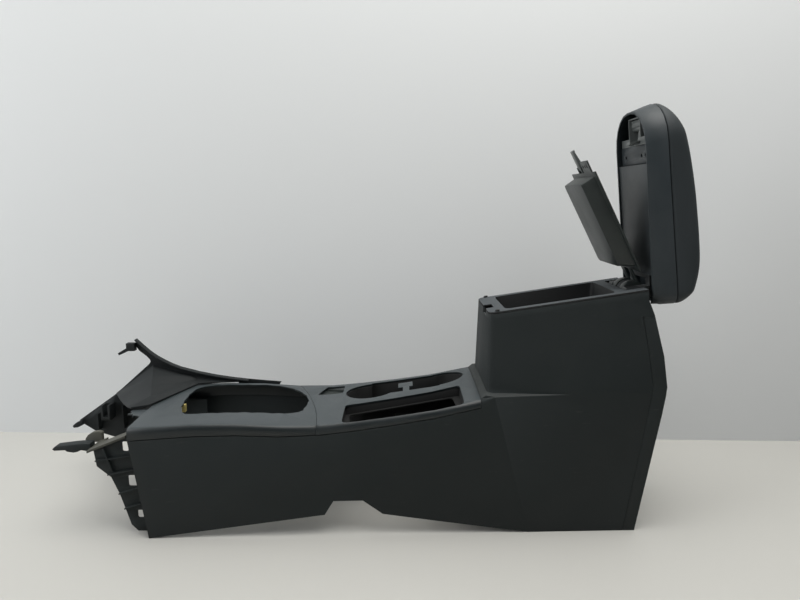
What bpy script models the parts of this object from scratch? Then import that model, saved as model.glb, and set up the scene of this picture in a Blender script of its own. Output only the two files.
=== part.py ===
"""Car center console with an open armrest lid and an open inner tray lid.

Metres, +Z up. The front of the car is at -X and the driver's side is at -Y.
The origin lies on the floor, in the middle of the length and on the centre plane.
"""

import math

import bmesh
import bpy
from mathutils import Vector

# Fits and walls
FIT = 0.0003
GROOVE = 0.0015
SEAM = 0.0006
WALL = 0.003
THIN = 0.002
TONGUE = 0.006

# Plan: the sides close in towards the rear
FRONT_HALF = 0.111
TAPER = 0.031
FRONT_TOP_X = -0.3325
FRONT_FOOT_X = -0.3105
BODY_LEVEL = 0.2245
LEDGE_RISE = 0.003

# Deck, as (x, z) along its middle height
DECK_LINE = ((-0.340, 0.180), (-0.200, 0.186), (-0.071, 0.181), (0.052, 0.193), (0.181, 0.213),
             (0.212, 0.222))
DECK_REAR_X = 0.206
DECK_CROWN = 0.002
DECK_EDGE = 0.008
SKIRT_FRONT = 0.019
SKIRT_REAR = 0.012
DECK_SPLIT_X = -0.046
DECK_SPLIT_SWEEP = 0.062

# Lower edge of the sides, as (x, z)
SILL_LINE = ((FRONT_FOOT_X, 0.0), (-0.036, 0.035), (-0.022, 0.058), (0.024, 0.058), (0.055, 0.035),
             (0.145, 0.021), (0.286, 0.0))

# Storage box
BOX_FRONT_X = 0.217
BOX_REAR_X = 0.461
BOX_LEDGE = 0.012
LEDGE_FADE_X = 0.342
BOX_TOP_HALF = 0.069
BOX_CORNER = 0.010
REAR_LINE = ((0.457, 0.0), (0.488, 0.193), (0.494, 0.238), (0.487, 0.284), (0.472, 0.345), (0.462, 0.366))
REAR_COVER_WRAP = 0.022
REAR_COVER_TOP = 0.345

# Lids: both turn on one axis
AXIS_X = 0.456
AXIS_Z = 0.3745
RIM_SLOPE = math.radians(8.6)
RIM_ABOVE_AXIS = 0.012
ARMREST_ABOVE_AXIS = 0.015
ARMREST_OPEN = math.radians(92)
TRAY_OPEN = math.radians(71)

# Bin
BIN_FRONT_X = 0.245
BIN_REAR_X = 0.416
BIN_HALF = BOX_TOP_HALF - 0.012
BIN_FLOOR_Z = 0.215
BIN_DRAFT = 0.006
RIM_T = 0.003
NOTCH_REAR_X = 0.232
NOTCH_DEPTH = 0.011
NOTCH_Y = (-0.030, -0.002)

# Bump stops on the rim
BUMP_X = 0.232
BUMP_Y = 0.0645
BUMP_R = 0.0035
BUMP_T = 0.0026

# Hinge
PIN_R = 0.004
DRUM_R = 0.0205
BAY_HALF = 0.049
BAY_FRONT_X = 0.433
BAY_FLOOR_Z = 0.3465
EAR_T = 0.006
EAR_R = 0.011
PLATE_T = 0.0025
BRACKET_REAR_X = 0.4575
BRACKET_SCREW_X = (0.4405, 0.4525)
BRACKET_SCREW_Y = (-0.030, 0.030)
SCREW_R = 0.0035
SCREW_HEAD_T = 0.002

# Armrest, s from the axis to the nose and h above the axis, when closed
LIP_START = -0.018
LIP_END = 0.281
LIP_HALF = BOX_TOP_HALF - 0.007
SEAM_END = 0.289
SEAM_HALF = BOX_TOP_HALF + 0.001
SEAM_H_REAR = 0.0495
SEAM_H_NOSE = 0.043
NOSE_R = 0.055
HEEL_R = 0.022
PAD_LINE = ((-0.018, 0.062), (0.000, 0.077), (0.020, 0.084), (0.050, 0.0863), (0.100, 0.085),
            (0.150, 0.0825),
            (0.200, 0.0785), (0.240, 0.0725), (0.265, 0.0645), (0.287, 0.052))
HINGE_CUT_S = 0.030
LINER_END = 0.200
COVER_END = 0.229
LATCH_BAY_END = 0.272
LINER_INSET = 0.002
COVER_INSET = 0.0075
LEDGE_INNER = LIP_HALF - 0.008
LEDGE_OUTER = LIP_HALF + 0.0005
LEDGE_REACH = 0.004

# Latch lever of the armrest
LEVER_PIN_S = 0.2560
LEVER_PIN_H = 0.0315
LEVER_PIN_R = 0.002
HOOK_S = 0.2325
HOOK_TIP_H = 0.007
LEVER_HALF = 0.020
HOOK_INNER = 0.006
HOUSING_T = 0.002

# Tray
TRAY_START = 0.037
TRAY_END = 0.206
TRAY_HALF = BIN_HALF + 0.003
PAN_START = 0.0445
PAN_END = 0.200
PAN_HALF = BIN_HALF - 0.007
PAN_FLOOR_H = -0.010
FLANGE_T = 0.0022
PRONG_PIN_S = 0.2120
PRONG_PIN_H = 0.0165
PRONG_REACH = 0.244
PRONG_Y = (0.002, 0.014)

# Openings of the deck. The lever opening's points are (x, share of the front's half width)
LEVER_OPENING = ((-0.263, -0.568), (-0.0795, -0.45), (-0.0735, -0.18), (-0.0735, 0.072), (-0.081, 0.306),
                 (-0.098, 0.559),
                 (-0.119, 0.748), (-0.150, 0.802), (-0.265, 0.802), (-0.284, 0.703), (-0.287, 0.450),
                 (-0.286, 0.135),
                 (-0.277, -0.297))
TEAR_STEP = 0.011
TEAR_DEPTH = 0.0014
CUP_X = (0.0314, 0.150)
CUP_R = (0.0437, 0.0425)
CUP_HALF_Y = (0.356 * FRONT_HALF, 0.302 * FRONT_HALF)
CUP_Y = (0.329 * FRONT_HALF, 0.432 * FRONT_HALF)
CUP_FLOOR_Z = 0.128
CUP_DRAFT = 0.90
NECK_Y = (0.108 * FRONT_HALF, 0.721 * FRONT_HALF)
TAB_STEM_X = (0.087, 0.098)
TAB_HEAD_X = (0.079, 0.104)
TAB_HEAD_Y = (0.297 * FRONT_HALF, 0.523 * FRONT_HALF)
SLOT_X = (-0.008, 0.181)
SLOT_NEAR_WALL = 0.0036
SLOT_FAR_Y = (-0.234 * FRONT_HALF, -0.081 * FRONT_HALF)
SLOT_FRAME_DROP = 0.012
SLOT_LIP = 0.001
SLOT_FAR_LIP = 0.004
SWITCH_X = (-0.062, -0.018)
SWITCH_Y = (0.333 * FRONT_HALF, 0.748 * FRONT_HALF)

# Front end
BRACE_REAR = (-0.341, 0.160)
BRACE_FRONT = (-0.403, 0.135)
BRACE_T = 0.004
BRACE_FAR_Y = -0.52 * FRONT_HALF
BRACE_LUG = ((-0.396, 0.1385), (-0.4235, 0.1385), (-0.4225, 0.144), (-0.418, 0.150), (-0.411, 0.1545),
             (-0.401, 0.156), (-0.396, 0.154))
LOCATOR = ((-0.4033, 0.1455), (-0.4150, 0.1455), (-0.4280, 0.1445), (-0.4590, 0.1405), (-0.4630, 0.1365),
           (-0.4600, 0.1340),
           (-0.4430, 0.1350), (-0.4400, 0.1325), (-0.4300, 0.1310), (-0.4230, 0.1325), (-0.4180, 0.1350),
           (-0.4033, 0.1330))
LOCATOR_Y = (-0.775 * FRONT_HALF, -0.63 * FRONT_HALF)
CARRIER_LINE = ((-0.276, 0.020), (-0.317, 0.003), (-0.334, 0.003), (-0.344, 0.014), (-0.358, 0.064),
                (-0.370, 0.094), (-0.391, 0.112), (-0.394, None), (-0.341, None), (-0.276, 0.156))
CARRIER_Y = FRONT_HALF - 0.017
# Ribs of the carriers, as front (x, z) and rear (x, z)
CARRIER_RIBS = (((-0.391, 0.1222), (-0.290, 0.1385)), ((-0.3735, 0.0995), (-0.290, 0.1165)),
                ((-0.3585, 0.0675), (-0.290, 0.0895)),
                ((-0.3515, 0.0425), (-0.290, 0.0610)))
CARRIER_UPRIGHT = ((-0.3785, 0.1425), (-0.3760, 0.1425), (-0.3640, 0.1045), (-0.3665, 0.1045))
CARRIER_RIB_H = 0.005
WINDOWS = ((-0.344, 0.145, 0.0093, 0.0159), (-0.3363, 0.0885, 0.014, 0.018),
           (-0.3278, 0.0323, 0.0094, 0.013))

# Side cover, as (x, z) on the far side's plane
COVER_PLANE = FRONT_HALF
COVER_T = 0.0025
COVER_TOP = ((-0.140, 0.1855), (-0.200, 0.1905), (-0.262, 0.199), (-0.325, 0.214), (-0.356, 0.228),
             (-0.380, 0.244), (-0.405, 0.268))
COVER_STEPS = (-0.140, -0.170, -0.200, -0.231, -0.262, -0.293, -0.325, -0.341, -0.356, -0.368, -0.380,
               -0.393, -0.405)
ARM_UNDER = ((-0.407, 0.2535), (-0.4016, 0.2451), (-0.3886, 0.2346), (-0.3830, 0.2280), (-0.3821, 0.2240),
             (-0.3849, 0.2196))
COVER_FRONT = ((-0.4518, 0.1611), (-0.524, 0.110), (-0.520, 0.1045), (-0.494, 0.0875), (-0.440, 0.070),
               (-0.334, 0.068), (-0.334, 0.150))
COVER_UNDER_X = (-0.334, -0.300, -0.250)
COVER_TAIL_X = -0.220
COVER_TAIL_DROP = 0.006
# Shoulder between the cover and the deck, as (x, y) along the deck and (x, z) on the cover
SHOULDER_LOW = ((-0.3635, -0.216), (-0.3345, -0.165), (-0.291, 0.847), (-0.250, 0.885), (-0.218, 0.895))
SHOULDER_RISE = 0.0015
SHOULDER_HIGH = ((-0.451, 0.1605), (-0.378, 0.215), (-0.300, 0.200), (-0.250, 0.194), (-0.212, 0.1885))
ARM_PRONG = ((-0.416, 0.2550), (-0.4165, 0.2470), (-0.437, 0.2375), (-0.439, 0.2415))
TIP_PRONG = ((-0.516, 0.1125), (-0.529, 0.1060), (-0.5342, 0.1010), (-0.5325, 0.0975), (-0.524, 0.0985),
             (-0.515, 0.1030))
CLIP_TOWER = ((-0.472, 0.1175), (-0.455, 0.1458))
FLANGE_WIDTH = 0.009


def width_at(x):
    """Half width of the body at x."""
    return FRONT_HALF - TAPER * (x - FRONT_FOOT_X)


def on_line(line, x):
    """Height of a smooth line through the points at x."""
    count = len(line)
    step = 0
    while step < count - 2 and x > line[step + 1][0]:
        step += 1
    (x0, z0), (x1, z1) = line[step], line[step + 1]
    before = line[max(step - 1, 0)]
    after = line[min(step + 2, count - 1)]
    slope0 = (z1 - before[1]) / (x1 - before[0])
    slope1 = (after[1] - z0) / (after[0] - x0)
    t = (x - x0) / (x1 - x0)
    span = x1 - x0
    rise0 = (2 * t**3 - 3 * t**2 + 1) * z0 + (t**3 - 2 * t**2 + t) * slope0 * span
    rise1 = (3 * t**2 - 2 * t**3) * z1 + (t**3 - t**2) * slope1 * span
    return rise0 + rise1


def straight(line, z):
    """x of a broken line of (x, z) points at z."""
    for (x0, z0), (x1, z1) in zip(line, line[1:]):
        if z <= z1:
            return x0 + (x1 - x0) * (z - z0) / (z1 - z0)
    return line[-1][0]


def straight_down(line, x):
    """z of a straight line between two (x, z) points at x."""
    (x0, z0), (x1, z1) = line
    return z0 + (z1 - z0) * (x - x0) / (x1 - x0)


def deck_z(x):
    """Height of the deck's edge at x."""
    return on_line(DECK_LINE, x)


def groove_z(x):
    """Height of the deck skirt's lower edge at x."""
    share = (x - FRONT_TOP_X) / (DECK_REAR_X - FRONT_TOP_X)
    return deck_z(x) - SKIRT_FRONT - (SKIRT_REAR - SKIRT_FRONT) * share


def rim_z(x):
    """Height of the box's rim plane at x."""
    at_axis = AXIS_Z + RIM_ABOVE_AXIS / math.cos(RIM_SLOPE)
    return at_axis + (x - AXIS_X) * math.tan(RIM_SLOPE)


def paint(name, rgb, roughness, metallic=0.0):
    """A Principled material."""
    material = bpy.data.materials.new(name)
    material.use_nodes = True
    shader = material.node_tree.nodes["Principled BSDF"]
    shader.inputs["Base Color"].default_value = (*rgb, 1)
    shader.inputs["Roughness"].default_value = roughness
    shader.inputs["Metallic"].default_value = metallic
    material.diffuse_color = (*rgb, 1)
    return material


def keep(name, bm, material=None, parent=None, smooth=False):
    """Turn a bmesh into an object. Without a material it is a cutter."""
    bmesh.ops.recalc_face_normals(bm, faces=bm.faces)
    mesh = bpy.data.meshes.new(name)
    bm.to_mesh(mesh)
    bm.free()
    obj = bpy.data.objects.new(name, mesh)
    bpy.context.scene.collection.objects.link(obj)
    if smooth:
        mesh.shade_smooth()
        mesh.set_sharp_from_angle(angle=math.radians(35))
    if material:
        mesh.materials.append(material)
    else:
        obj.hide_render = True
        obj.display_type = "WIRE"
    obj.parent = parent
    return obj


def loft(rings):
    """A closed bmesh through rings of equal length."""
    bm = bmesh.new()
    loops = [[bm.verts.new(point) for point in ring] for ring in rings]
    for low, high in zip(loops, loops[1:]):
        for i in range(len(low)):
            j = (i + 1) % len(low)
            bm.faces.new((low[i], low[j], high[j], high[i]))
    bm.faces.new(list(reversed(loops[0])))
    bm.faces.new(loops[-1])
    return bm


def prism(outline, low, high, along="y"):
    """A bmesh of an outline extruded along an axis."""
    place = {
        "x": lambda a, b, c: (c, a, b),
        "y": lambda a, b, c: (a, c, b),
        "z": lambda a, b, c: (a, b, c),
    }[along]
    return loft([[place(a, b, c) for a, b in outline] for c in (low, high)])


def block(low, high):
    """A bmesh box between two corners."""
    (x0, y0, z0), (x1, y1, z1) = low, high
    return prism(((x0, y0), (x1, y0), (x1, y1), (x0, y1)), z0, z1, "z")


def disc(centre, radius, low, high, along="y", sides=24):
    """A bmesh cylinder round a centre (a, b), along an axis."""
    turns = [2 * math.pi * i / sides for i in range(sides)]
    outline = [(centre[0] + radius * math.cos(t), centre[1] + radius * math.sin(t)) for t in turns]
    return prism(outline, low, high, along)


def boolean(obj, other, operation="DIFFERENCE"):
    """Add an exact Boolean with a hidden helper."""
    modifier = obj.modifiers.new(other.name, "BOOLEAN")
    modifier.operation = operation
    modifier.object = other
    return obj


def cut(obj, label, bm):
    """Cut a bmesh out of an object."""
    return boolean(obj, keep(f"{obj.name}_{label}", bm, parent=obj.parent))


def join(obj, label, bm):
    """Join a bmesh to an object."""
    return boolean(obj, keep(f"{obj.name}_{label}", bm, parent=obj.parent), "UNION")


def mirrored(half):
    """A closed ring from its +Y half, listed front to rear."""
    return half + [(x, -y, z) for x, y, z in reversed(half)]


def body_ring(z, inset, front_x, rear_x):
    """A level ring of the lower body."""
    stations = (front_x, BOX_FRONT_X - 0.004, BOX_FRONT_X + BOX_CORNER, LEDGE_FADE_X, rear_x - inset)
    return mirrored([(x, width_at(x) - inset, z) for x in stations])


def box_ring(share, inset):
    """A ring of the box, from share 0 at its foot to 1 at its rim, and above."""
    half = []
    foot_front = width_at(BOX_FRONT_X) - BOX_LEDGE
    front_x = BOX_FRONT_X + 0.002 * share + inset
    corner = BOX_CORNER - inset * 0.6
    low_rear_x = straight(REAR_LINE, BODY_LEVEL)
    top_rear_x = BOX_REAR_X
    for x, pull in ((front_x, corner), (front_x + corner * 0.3, corner * 0.3), (front_x + corner, 0.0)):
        half.append([x, foot_front + (BOX_TOP_HALF - foot_front) * share - pull - inset])
    foot_mid = width_at(LEDGE_FADE_X)
    half.append([LEDGE_FADE_X, foot_mid + (BOX_TOP_HALF - foot_mid) * share - inset])
    foot_rear = width_at(low_rear_x)
    z_rear = BODY_LEVEL + (rim_z(BOX_REAR_X) - BODY_LEVEL) * share
    rear_x = straight(REAR_LINE, z_rear) if share < 1 else top_rear_x
    half.append([rear_x - inset, foot_rear + (BOX_TOP_HALF - foot_rear) * share - inset])
    points = []
    for x, y in half:
        foot_z = BODY_LEVEL + LEDGE_RISE
        points.append((x, y, foot_z + (rim_z(x) - foot_z) * share))
    return mirrored(points)


def front_x_at(z):
    """x of the sides' front edge at z."""
    return FRONT_FOOT_X + (FRONT_TOP_X - FRONT_FOOT_X) * z / groove_z(FRONT_TOP_X)


def outer_shell():
    """The whole body's outer form, box included."""
    rings = [body_ring(z, 0, front_x_at(z), straight(REAR_LINE, z)) for z in (0.0, 0.193, BODY_LEVEL)]
    shares = (0.0, 0.06, 0.35, 0.75, 0.9, 1.0)
    return loft(rings + [box_ring(share, 0) for share in shares])


def lower_cavity():
    """The space under the deck and between the sides."""
    open_front = FRONT_TOP_X - 0.08
    levels = (-0.01, 0.193, deck_z(DECK_REAR_X) - WALL)
    return loft([body_ring(z, WALL, open_front, straight(REAR_LINE, max(z, 0))) for z in levels])


def box_cavity():
    """The space inside the box's walls, open upwards and downwards."""
    rings = [box_ring(share, WALL) for share in (0.0, 0.35, 0.75, 1.0)]
    low_z = deck_z(DECK_REAR_X) - 2 * WALL
    last_x = straight(REAR_LINE, low_z) - WALL
    below = [(min(x, last_x), y, low_z) for x, y, z in rings[0]]
    above = [(x, y, z + 0.03) for x, y, z in rings[-1]]
    return loft([below] + rings + [above])


def rear_seam(gap):
    """Outline of what the rear cover takes, grown by a gap."""
    seam = [(x - REAR_COVER_WRAP - gap, z) for x, z in REAR_LINE[:4]]
    top = REAR_COVER_TOP + gap
    seam[0] = (seam[0][0], -0.02)
    return seam + [(straight(REAR_LINE, top) - REAR_COVER_WRAP * 0.8 - gap, top), (0.60, top),
                   (0.60, -0.02)]


def sill_cutter():
    """What is cut away under the sides' lower edge."""
    below = -0.02
    return prism(list(SILL_LINE) + [(SILL_LINE[-1][0], below), (SILL_LINE[0][0], below)], -0.2, 0.2)


def hinge_bay(grow):
    """The bay that the hinge drums turn in."""
    low = (BAY_FRONT_X - grow, -BAY_HALF - grow, BAY_FLOOR_Z - grow)
    return block(low, (0.50, BAY_HALF + grow, 0.42))


def hollow(obj):
    """Cut the body's cavities and its lower edge."""
    cut(obj, "underside", lower_cavity())
    cut(obj, "box_inside", box_cavity())
    cut(obj, "sill", sill_cutter())
    return obj


def above_rim(x_low, x_high, drop):
    """Outline of all that lies above the rim plane, lowered by a drop."""
    return [(x_low, rim_z(x_low) - drop), (x_high, rim_z(x_high) - drop), (x_high, 0.5), (x_low, 0.5)]


def strike_notch():
    """The notch at the box's front that the armrest's hook drops into."""
    floor = rim_z(BOX_FRONT_X) - NOTCH_DEPTH
    return block((BOX_FRONT_X - 0.01, NOTCH_Y[0], floor), (NOTCH_REAR_X, NOTCH_Y[1], 0.4))


def shelf_edge(side):
    """What is cut away to round the edge behind the deck, fading out beside the box."""
    rings = []
    for x, edge, top in ((DECK_REAR_X, DECK_EDGE, deck_z(DECK_REAR_X)),
                         (BOX_FRONT_X + BOX_CORNER, DECK_EDGE / 8, BODY_LEVEL)):
        w = width_at(x)
        ring = [(x, side * (w + THIN), top - edge)]
        for turn in (0, 30, 60, 90):
            angle = math.radians(turn)
            ring.append((x, side * (w - edge + edge * math.cos(angle)),
                         top - edge + edge * math.sin(angle)))
        rings.append(ring + [(x, side * (w - edge), top + BOX_LEDGE),
                             (x, side * (w + THIN), top + BOX_LEDGE)])
    return loft(rings)


def make_body(plastic):
    """Main moulding: the two sides and the walls of the storage box."""
    body = hollow(keep("main_body", outer_shell(), plastic))
    stations = [FRONT_TOP_X - 0.06] + deck_stations()[:-1] + [DECK_REAR_X + SEAM]
    line = [(x, groove_z(max(x, FRONT_TOP_X)) - GROOVE) for x in stations]
    front = BOX_FRONT_X - FIT
    shelf = [(DECK_REAR_X + SEAM, deck_z(DECK_REAR_X)), (front, BODY_LEVEL + LEDGE_RISE + FIT)]
    cut(body, "deck_room", prism(line + shelf + [(front, 0.4), (stations[0], 0.4)], -0.2, 0.2))
    for label, side in (("left_edge", -1), ("right_edge", 1)):
        cut(body, label, shelf_edge(side))
    cut(body, "rear_room", prism(rear_seam(SEAM), -0.2, 0.2))
    cut(body, "rim_room", prism(above_rim(0.19, 0.50, RIM_T + FIT), -0.2, 0.2))
    cut(body, "hinge_room", hinge_bay(THIN + FIT))
    cut(body, "strike_notch", strike_notch())
    return body


def make_rear_cover(plastic):
    """Back panel, wrapped round both rear corners."""
    cover = hollow(keep("rear_cover", outer_shell(), plastic))
    boolean(cover, keep("rear_cover_bounds", prism(rear_seam(0.0), -0.2, 0.2)), "INTERSECT")
    return cover


def deck_ring(x, inset, drop):
    """A ring of the deck across the console."""
    w = width_at(x) - inset
    top = deck_z(x) - drop
    low = groove_z(x) - TONGUE
    half = [(x, w, low)]
    edge = max(DECK_EDGE - inset, 0.002)
    for turn in (0, 30, 60, 90):
        angle = math.radians(turn)
        half.append((x, w - edge + edge * math.cos(angle), top - edge + edge * math.sin(angle)))
    half.append((x, w * 0.5, top + DECK_CROWN * 0.75))
    return mirrored(half)


def deck_stations():
    """The deck's stations along x."""
    return [FRONT_TOP_X, -0.30, -0.235, -0.17, -0.105, -0.04, 0.015, 0.075, 0.135, DECK_REAR_X]


def deck_inside(grow_down=0.03):
    """The space under the deck, open downwards."""
    skirt = WALL + FIT + THIN
    rings = []
    for x in [FRONT_TOP_X - 0.03] + deck_stations() + [DECK_REAR_X + 0.03]:
        held = min(max(x, FRONT_TOP_X), DECK_REAR_X)
        ring = deck_ring(held, skirt, WALL)
        rings.append([(x, y, z - (grow_down if i in (0, len(ring) - 1) else 0)) for i,
                      (_, y, z) in enumerate(ring)])
    return loft(rings)


def split_outline(gap, to_front):
    """Plan outline of one side of the curved joint between the two deck panels."""
    points = []
    side = FRONT_HALF + 0.02
    for step in range(9):
        y = -side + 2 * side * step / 8
        t = (y + FRONT_HALF) / (2 * FRONT_HALF)
        points.append((DECK_SPLIT_X - DECK_SPLIT_SWEEP * max(t, 0) ** 1.7 + gap, y))
    end = -0.45 if to_front else 0.30
    return points + [(end, side), (end, -side)]


def make_deck(name, plastic, to_front):
    """One deck panel, with its rolled edges and its tongue inside the body's walls."""
    deck = keep(name, loft([deck_ring(x, 0, 0) for x in deck_stations()]), plastic)
    cut(deck, "inside", deck_inside())
    for label, side in (("left", -1), ("right", 1)):
        rings = []
        for x in [FRONT_TOP_X - 0.01] + deck_stations() + [DECK_REAR_X + 0.01]:
            held = min(max(x, FRONT_TOP_X), DECK_REAR_X)
            inner, outer = width_at(held) - WALL - FIT, width_at(held) + 0.02
            low, high = groove_z(held) - TONGUE - 0.01, groove_z(held)
            rings.append([(x, side * inner, low), (x, side * outer, low), (x, side * outer, high),
                          (x, side * inner, high)])
        cut(deck, f"{label}_step", loft(rings))
    gap = SEAM / 2 if to_front else -SEAM / 2
    cut(deck, "joint", prism(split_outline(-gap, not to_front), 0.1, 0.3, "z"))
    return deck


def rounded(outline, radius, steps=4):
    """An outline with its corners rounded."""
    points = []
    count = len(outline)
    for i, corner in enumerate(outline):
        here = Vector(corner)
        back = (Vector(outline[i - 1]) - here)
        on = (Vector(outline[(i + 1) % count]) - here)
        reach = min(radius, back.length * 0.45, on.length * 0.45)
        start, end = here + back.normalized() * reach, here + on.normalized() * reach
        for k in range(steps + 1):
            t = k / steps
            points.append(tuple(start * (1 - t) ** 2 + here * 2 * t * (1 - t) + end * t**2))
    return points


def torn(outline, step, depth):
    """An outline with short tears along its edge, as left where a boot was pulled off."""
    points = []
    for i, corner in enumerate(outline):
        here, on = Vector(corner), Vector(outline[(i + 1) % len(outline)])
        count = max(round((on - here).length / step), 1)
        across = Vector((on.y - here.y, here.x - on.x)).normalized()
        for k in range(count):
            bite = depth * max(math.sin(2.4 * len(points)) + 0.4 * math.sin(5.1 * len(points)), -0.3)
            points.append(tuple(here.lerp(on, k / count) + across * bite))
    return points


def make_front_deck(plastic):
    """Deck panel with the gear lever opening and a broken clip socket at its front."""
    deck = make_deck("front_deck", plastic, True)
    outline = rounded([(x, share * FRONT_HALF) for x, share in LEVER_OPENING], 0.012, 2)
    cut(deck, "lever_opening", prism(torn(outline, TEAR_STEP, TEAR_DEPTH), 0.1, 0.3, "z"))
    back, top = FRONT_TOP_X + 0.0045, deck_z(FRONT_TOP_X)
    front = SHOULDER_LOW[0][0] + 0.0015
    socket = ((back, top), (FRONT_TOP_X - 0.0005, top), (FRONT_TOP_X - THIN, top - 0.0025),
              (front, top - 0.003),
              (front, top - 0.0055), (back, top - 0.0055))
    join(deck, "socket", prism(socket, -0.052, -0.020))
    for index, (x, y, long, wide) in enumerate(((-0.358, -0.047, 0.014, 0.011),
                                                (-0.362, -0.033, 0.007, 0.006),
                                                (-0.343, -0.0525, 0.006, 0.007))):
        cut(deck, f"break_{index + 1}", prism(((x - long, y - wide), (x + long * 0.7, y - wide * 0.8),
                                               (x + long * 0.4, y + wide * 0.5),
                                               (x - long, y + wide * 0.8)), 0.1, 0.3, "z"))
    return deck


def cup_outline(index, scale=1.0, grow=0.0, sides=28):
    """Plan outline of one cup."""
    points = []
    for i in range(sides):
        turn = 2 * math.pi * i / sides
        reach_x, reach_y = (CUP_R[index] + grow) * scale, (CUP_HALF_Y[index] + grow) * scale
        points.append((CUP_X[index] + reach_x * math.cos(turn), CUP_Y[index] + reach_y * math.sin(turn)))
    return points


def neck_outline(grow):
    """Plan outline of the channel between the cups."""
    (x0, x1), (y0, y1) = CUP_X, NECK_Y
    return [(x0, y0 - grow), (x1, y0 - grow), (x1, y1 + grow), (x0, y1 + grow)]


def neck_with_tab():
    """Plan outline of the deck's opening between the cups, round its T-shaped tab."""
    (x0, x1), (y0, y1) = CUP_X, NECK_Y
    (s0, s1), (h0, h1), (t0, t1) = TAB_STEM_X, TAB_HEAD_X, TAB_HEAD_Y
    tab = [(s0, y0), (s0, t0), (h0, t0), (h0, t1), (h1, t1), (h1, t0), (s1, t0), (s1, y0)]
    return [(x0, y0)] + tab + [(x1, y0), (x1, y1), (x0, y1)]


def slot_outline():
    """Plan outline of the handbrake slot. Its near edge follows the console's side."""
    x0, x1 = SLOT_X
    near = [(x, SLOT_NEAR_WALL - width_at(x)) for x in SLOT_X]
    return [near[0], near[1], (x1, SLOT_FAR_Y[1]), (x0, SLOT_FAR_Y[0])]


def slot_level(x, drop):
    """Height of a straight line below the deck, from one end of the slot to the other."""
    x0, x1 = SLOT_X
    z0, z1 = deck_z(x0), deck_z(x1)
    return z0 + (z1 - z0) * (x - x0) / (x1 - x0) - drop


def make_mid_deck(plastic):
    """Deck panel with the cup opening, the handbrake slot and the switch recess."""
    deck = make_deck("mid_deck", plastic, False)
    for index in (0, 1):
        cut(deck, f"cup_{index + 1}", prism(cup_outline(index), 0.1, 0.3, "z"))
    cut(deck, "cup_neck", prism(neck_with_tab(), 0.1, 0.3, "z"))
    outline = rounded(slot_outline(), 0.007, 3)
    levels = (SKIRT_REAR - 2 * THIN, -0.02)
    cut(deck, "slot", loft([[(x, y, slot_level(x, drop)) for x, y in outline] for drop in levels]))
    switch = [(SWITCH_X[0], SWITCH_Y[0]), (SWITCH_X[1], SWITCH_Y[0] + 0.003), (SWITCH_X[1], SWITCH_Y[1]),
              (SWITCH_X[0] + 0.012, SWITCH_Y[1])]
    cut(deck, "switch_recess", prism(rounded(switch, 0.004, 2), 0.1, 0.3, "z"))
    return deck


def under_deck(extra=0.0):
    """All that lies above the deck's underside, for fitting a piece below it."""
    rings = []
    for x in deck_stations():
        ring = deck_ring(x, WALL + FIT + THIN + FIT, WALL + FIT + extra)
        low = [(px, py, pz) for px, py, pz in ring[1:-1]]
        rings.append([(x, low[0][1], 0.35)] + low + [(x, low[-1][1], 0.35)])
    return loft(rings)


def make_cup_insert(plastic):
    """Two cups and the channel between them, in one moulding under the deck."""
    grow = WALL
    bands = [(CUP_FLOOR_Z, CUP_DRAFT), (0.24, 1.0)]
    insert = None
    for index in (0, 1):
        rings = [[(x, y, z - (THIN if z < 0.2 else 0)) for x, y in cup_outline(index, scale, grow)] for z,
                 scale in bands]
        if insert is None:
            insert = keep("cup_holder_insert", loft(rings), plastic)
        else:
            join(insert, "rear_cup", loft(rings))
    neck_floor = CUP_FLOOR_Z + 0.034
    join(insert, "neck", prism(neck_outline(grow), neck_floor - THIN, 0.24, "z"))
    for index in (0, 1):
        rings = [[(x, y, z) for x, y in cup_outline(index, scale, 0)] for z, scale in bands]
        cut(insert, f"cup_{index + 1}", loft(rings))
    cut(insert, "channel", prism(neck_outline(0), neck_floor, 0.25, "z"))
    cut(insert, "deck_room", under_deck())
    return insert


def make_slot_frame(plastic):
    """Frame under the handbrake slot, with its ledge and its bevelled ends."""
    x0, x1 = SLOT_X
    side = WALL
    wall = WALL + THIN + 2 * FIT
    rings = []
    for x, far in ((x0 - side, SLOT_FAR_Y[0]), (x1 + side, SLOT_FAR_Y[1])):
        low = slot_level(x, WALL + SLOT_FRAME_DROP + THIN)
        high = slot_level(x, -0.01)
        near = wall - width_at(x)
        rings.append([(x, near, low), (x, far + side, low), (x, far + side, high), (x, near, high)])
    frame = keep("handbrake_slot_frame", loft(rings), plastic)
    rings = []
    for x, far in ((x0 - FIT, SLOT_FAR_Y[0]), (x1 + FIT, SLOT_FAR_Y[1])):
        low = slot_level(x, WALL + SLOT_FRAME_DROP)
        high = slot_level(x, -0.02)
        near = wall + THIN - width_at(x)
        rings.append([(x, near, low), (x, far + FIT, low), (x, far + FIT, high), (x, near, high)])
    cut(frame, "well", loft(rings))
    near = [wall + THIN + SLOT_LIP - width_at(x) for x in SLOT_X]
    hole = [(x0 + 0.014, near[0]), (x1 - 0.006, near[1]), (x1 - 0.012, SLOT_FAR_Y[1] - SLOT_FAR_LIP),
            (x0 + 0.006, SLOT_FAR_Y[0] - SLOT_FAR_LIP)]
    cut(frame, "lever_hole", prism(rounded(hole, 0.006, 2), 0.1, 0.3, "z"))
    cut(frame, "deck_room", under_deck())
    return frame


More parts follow.
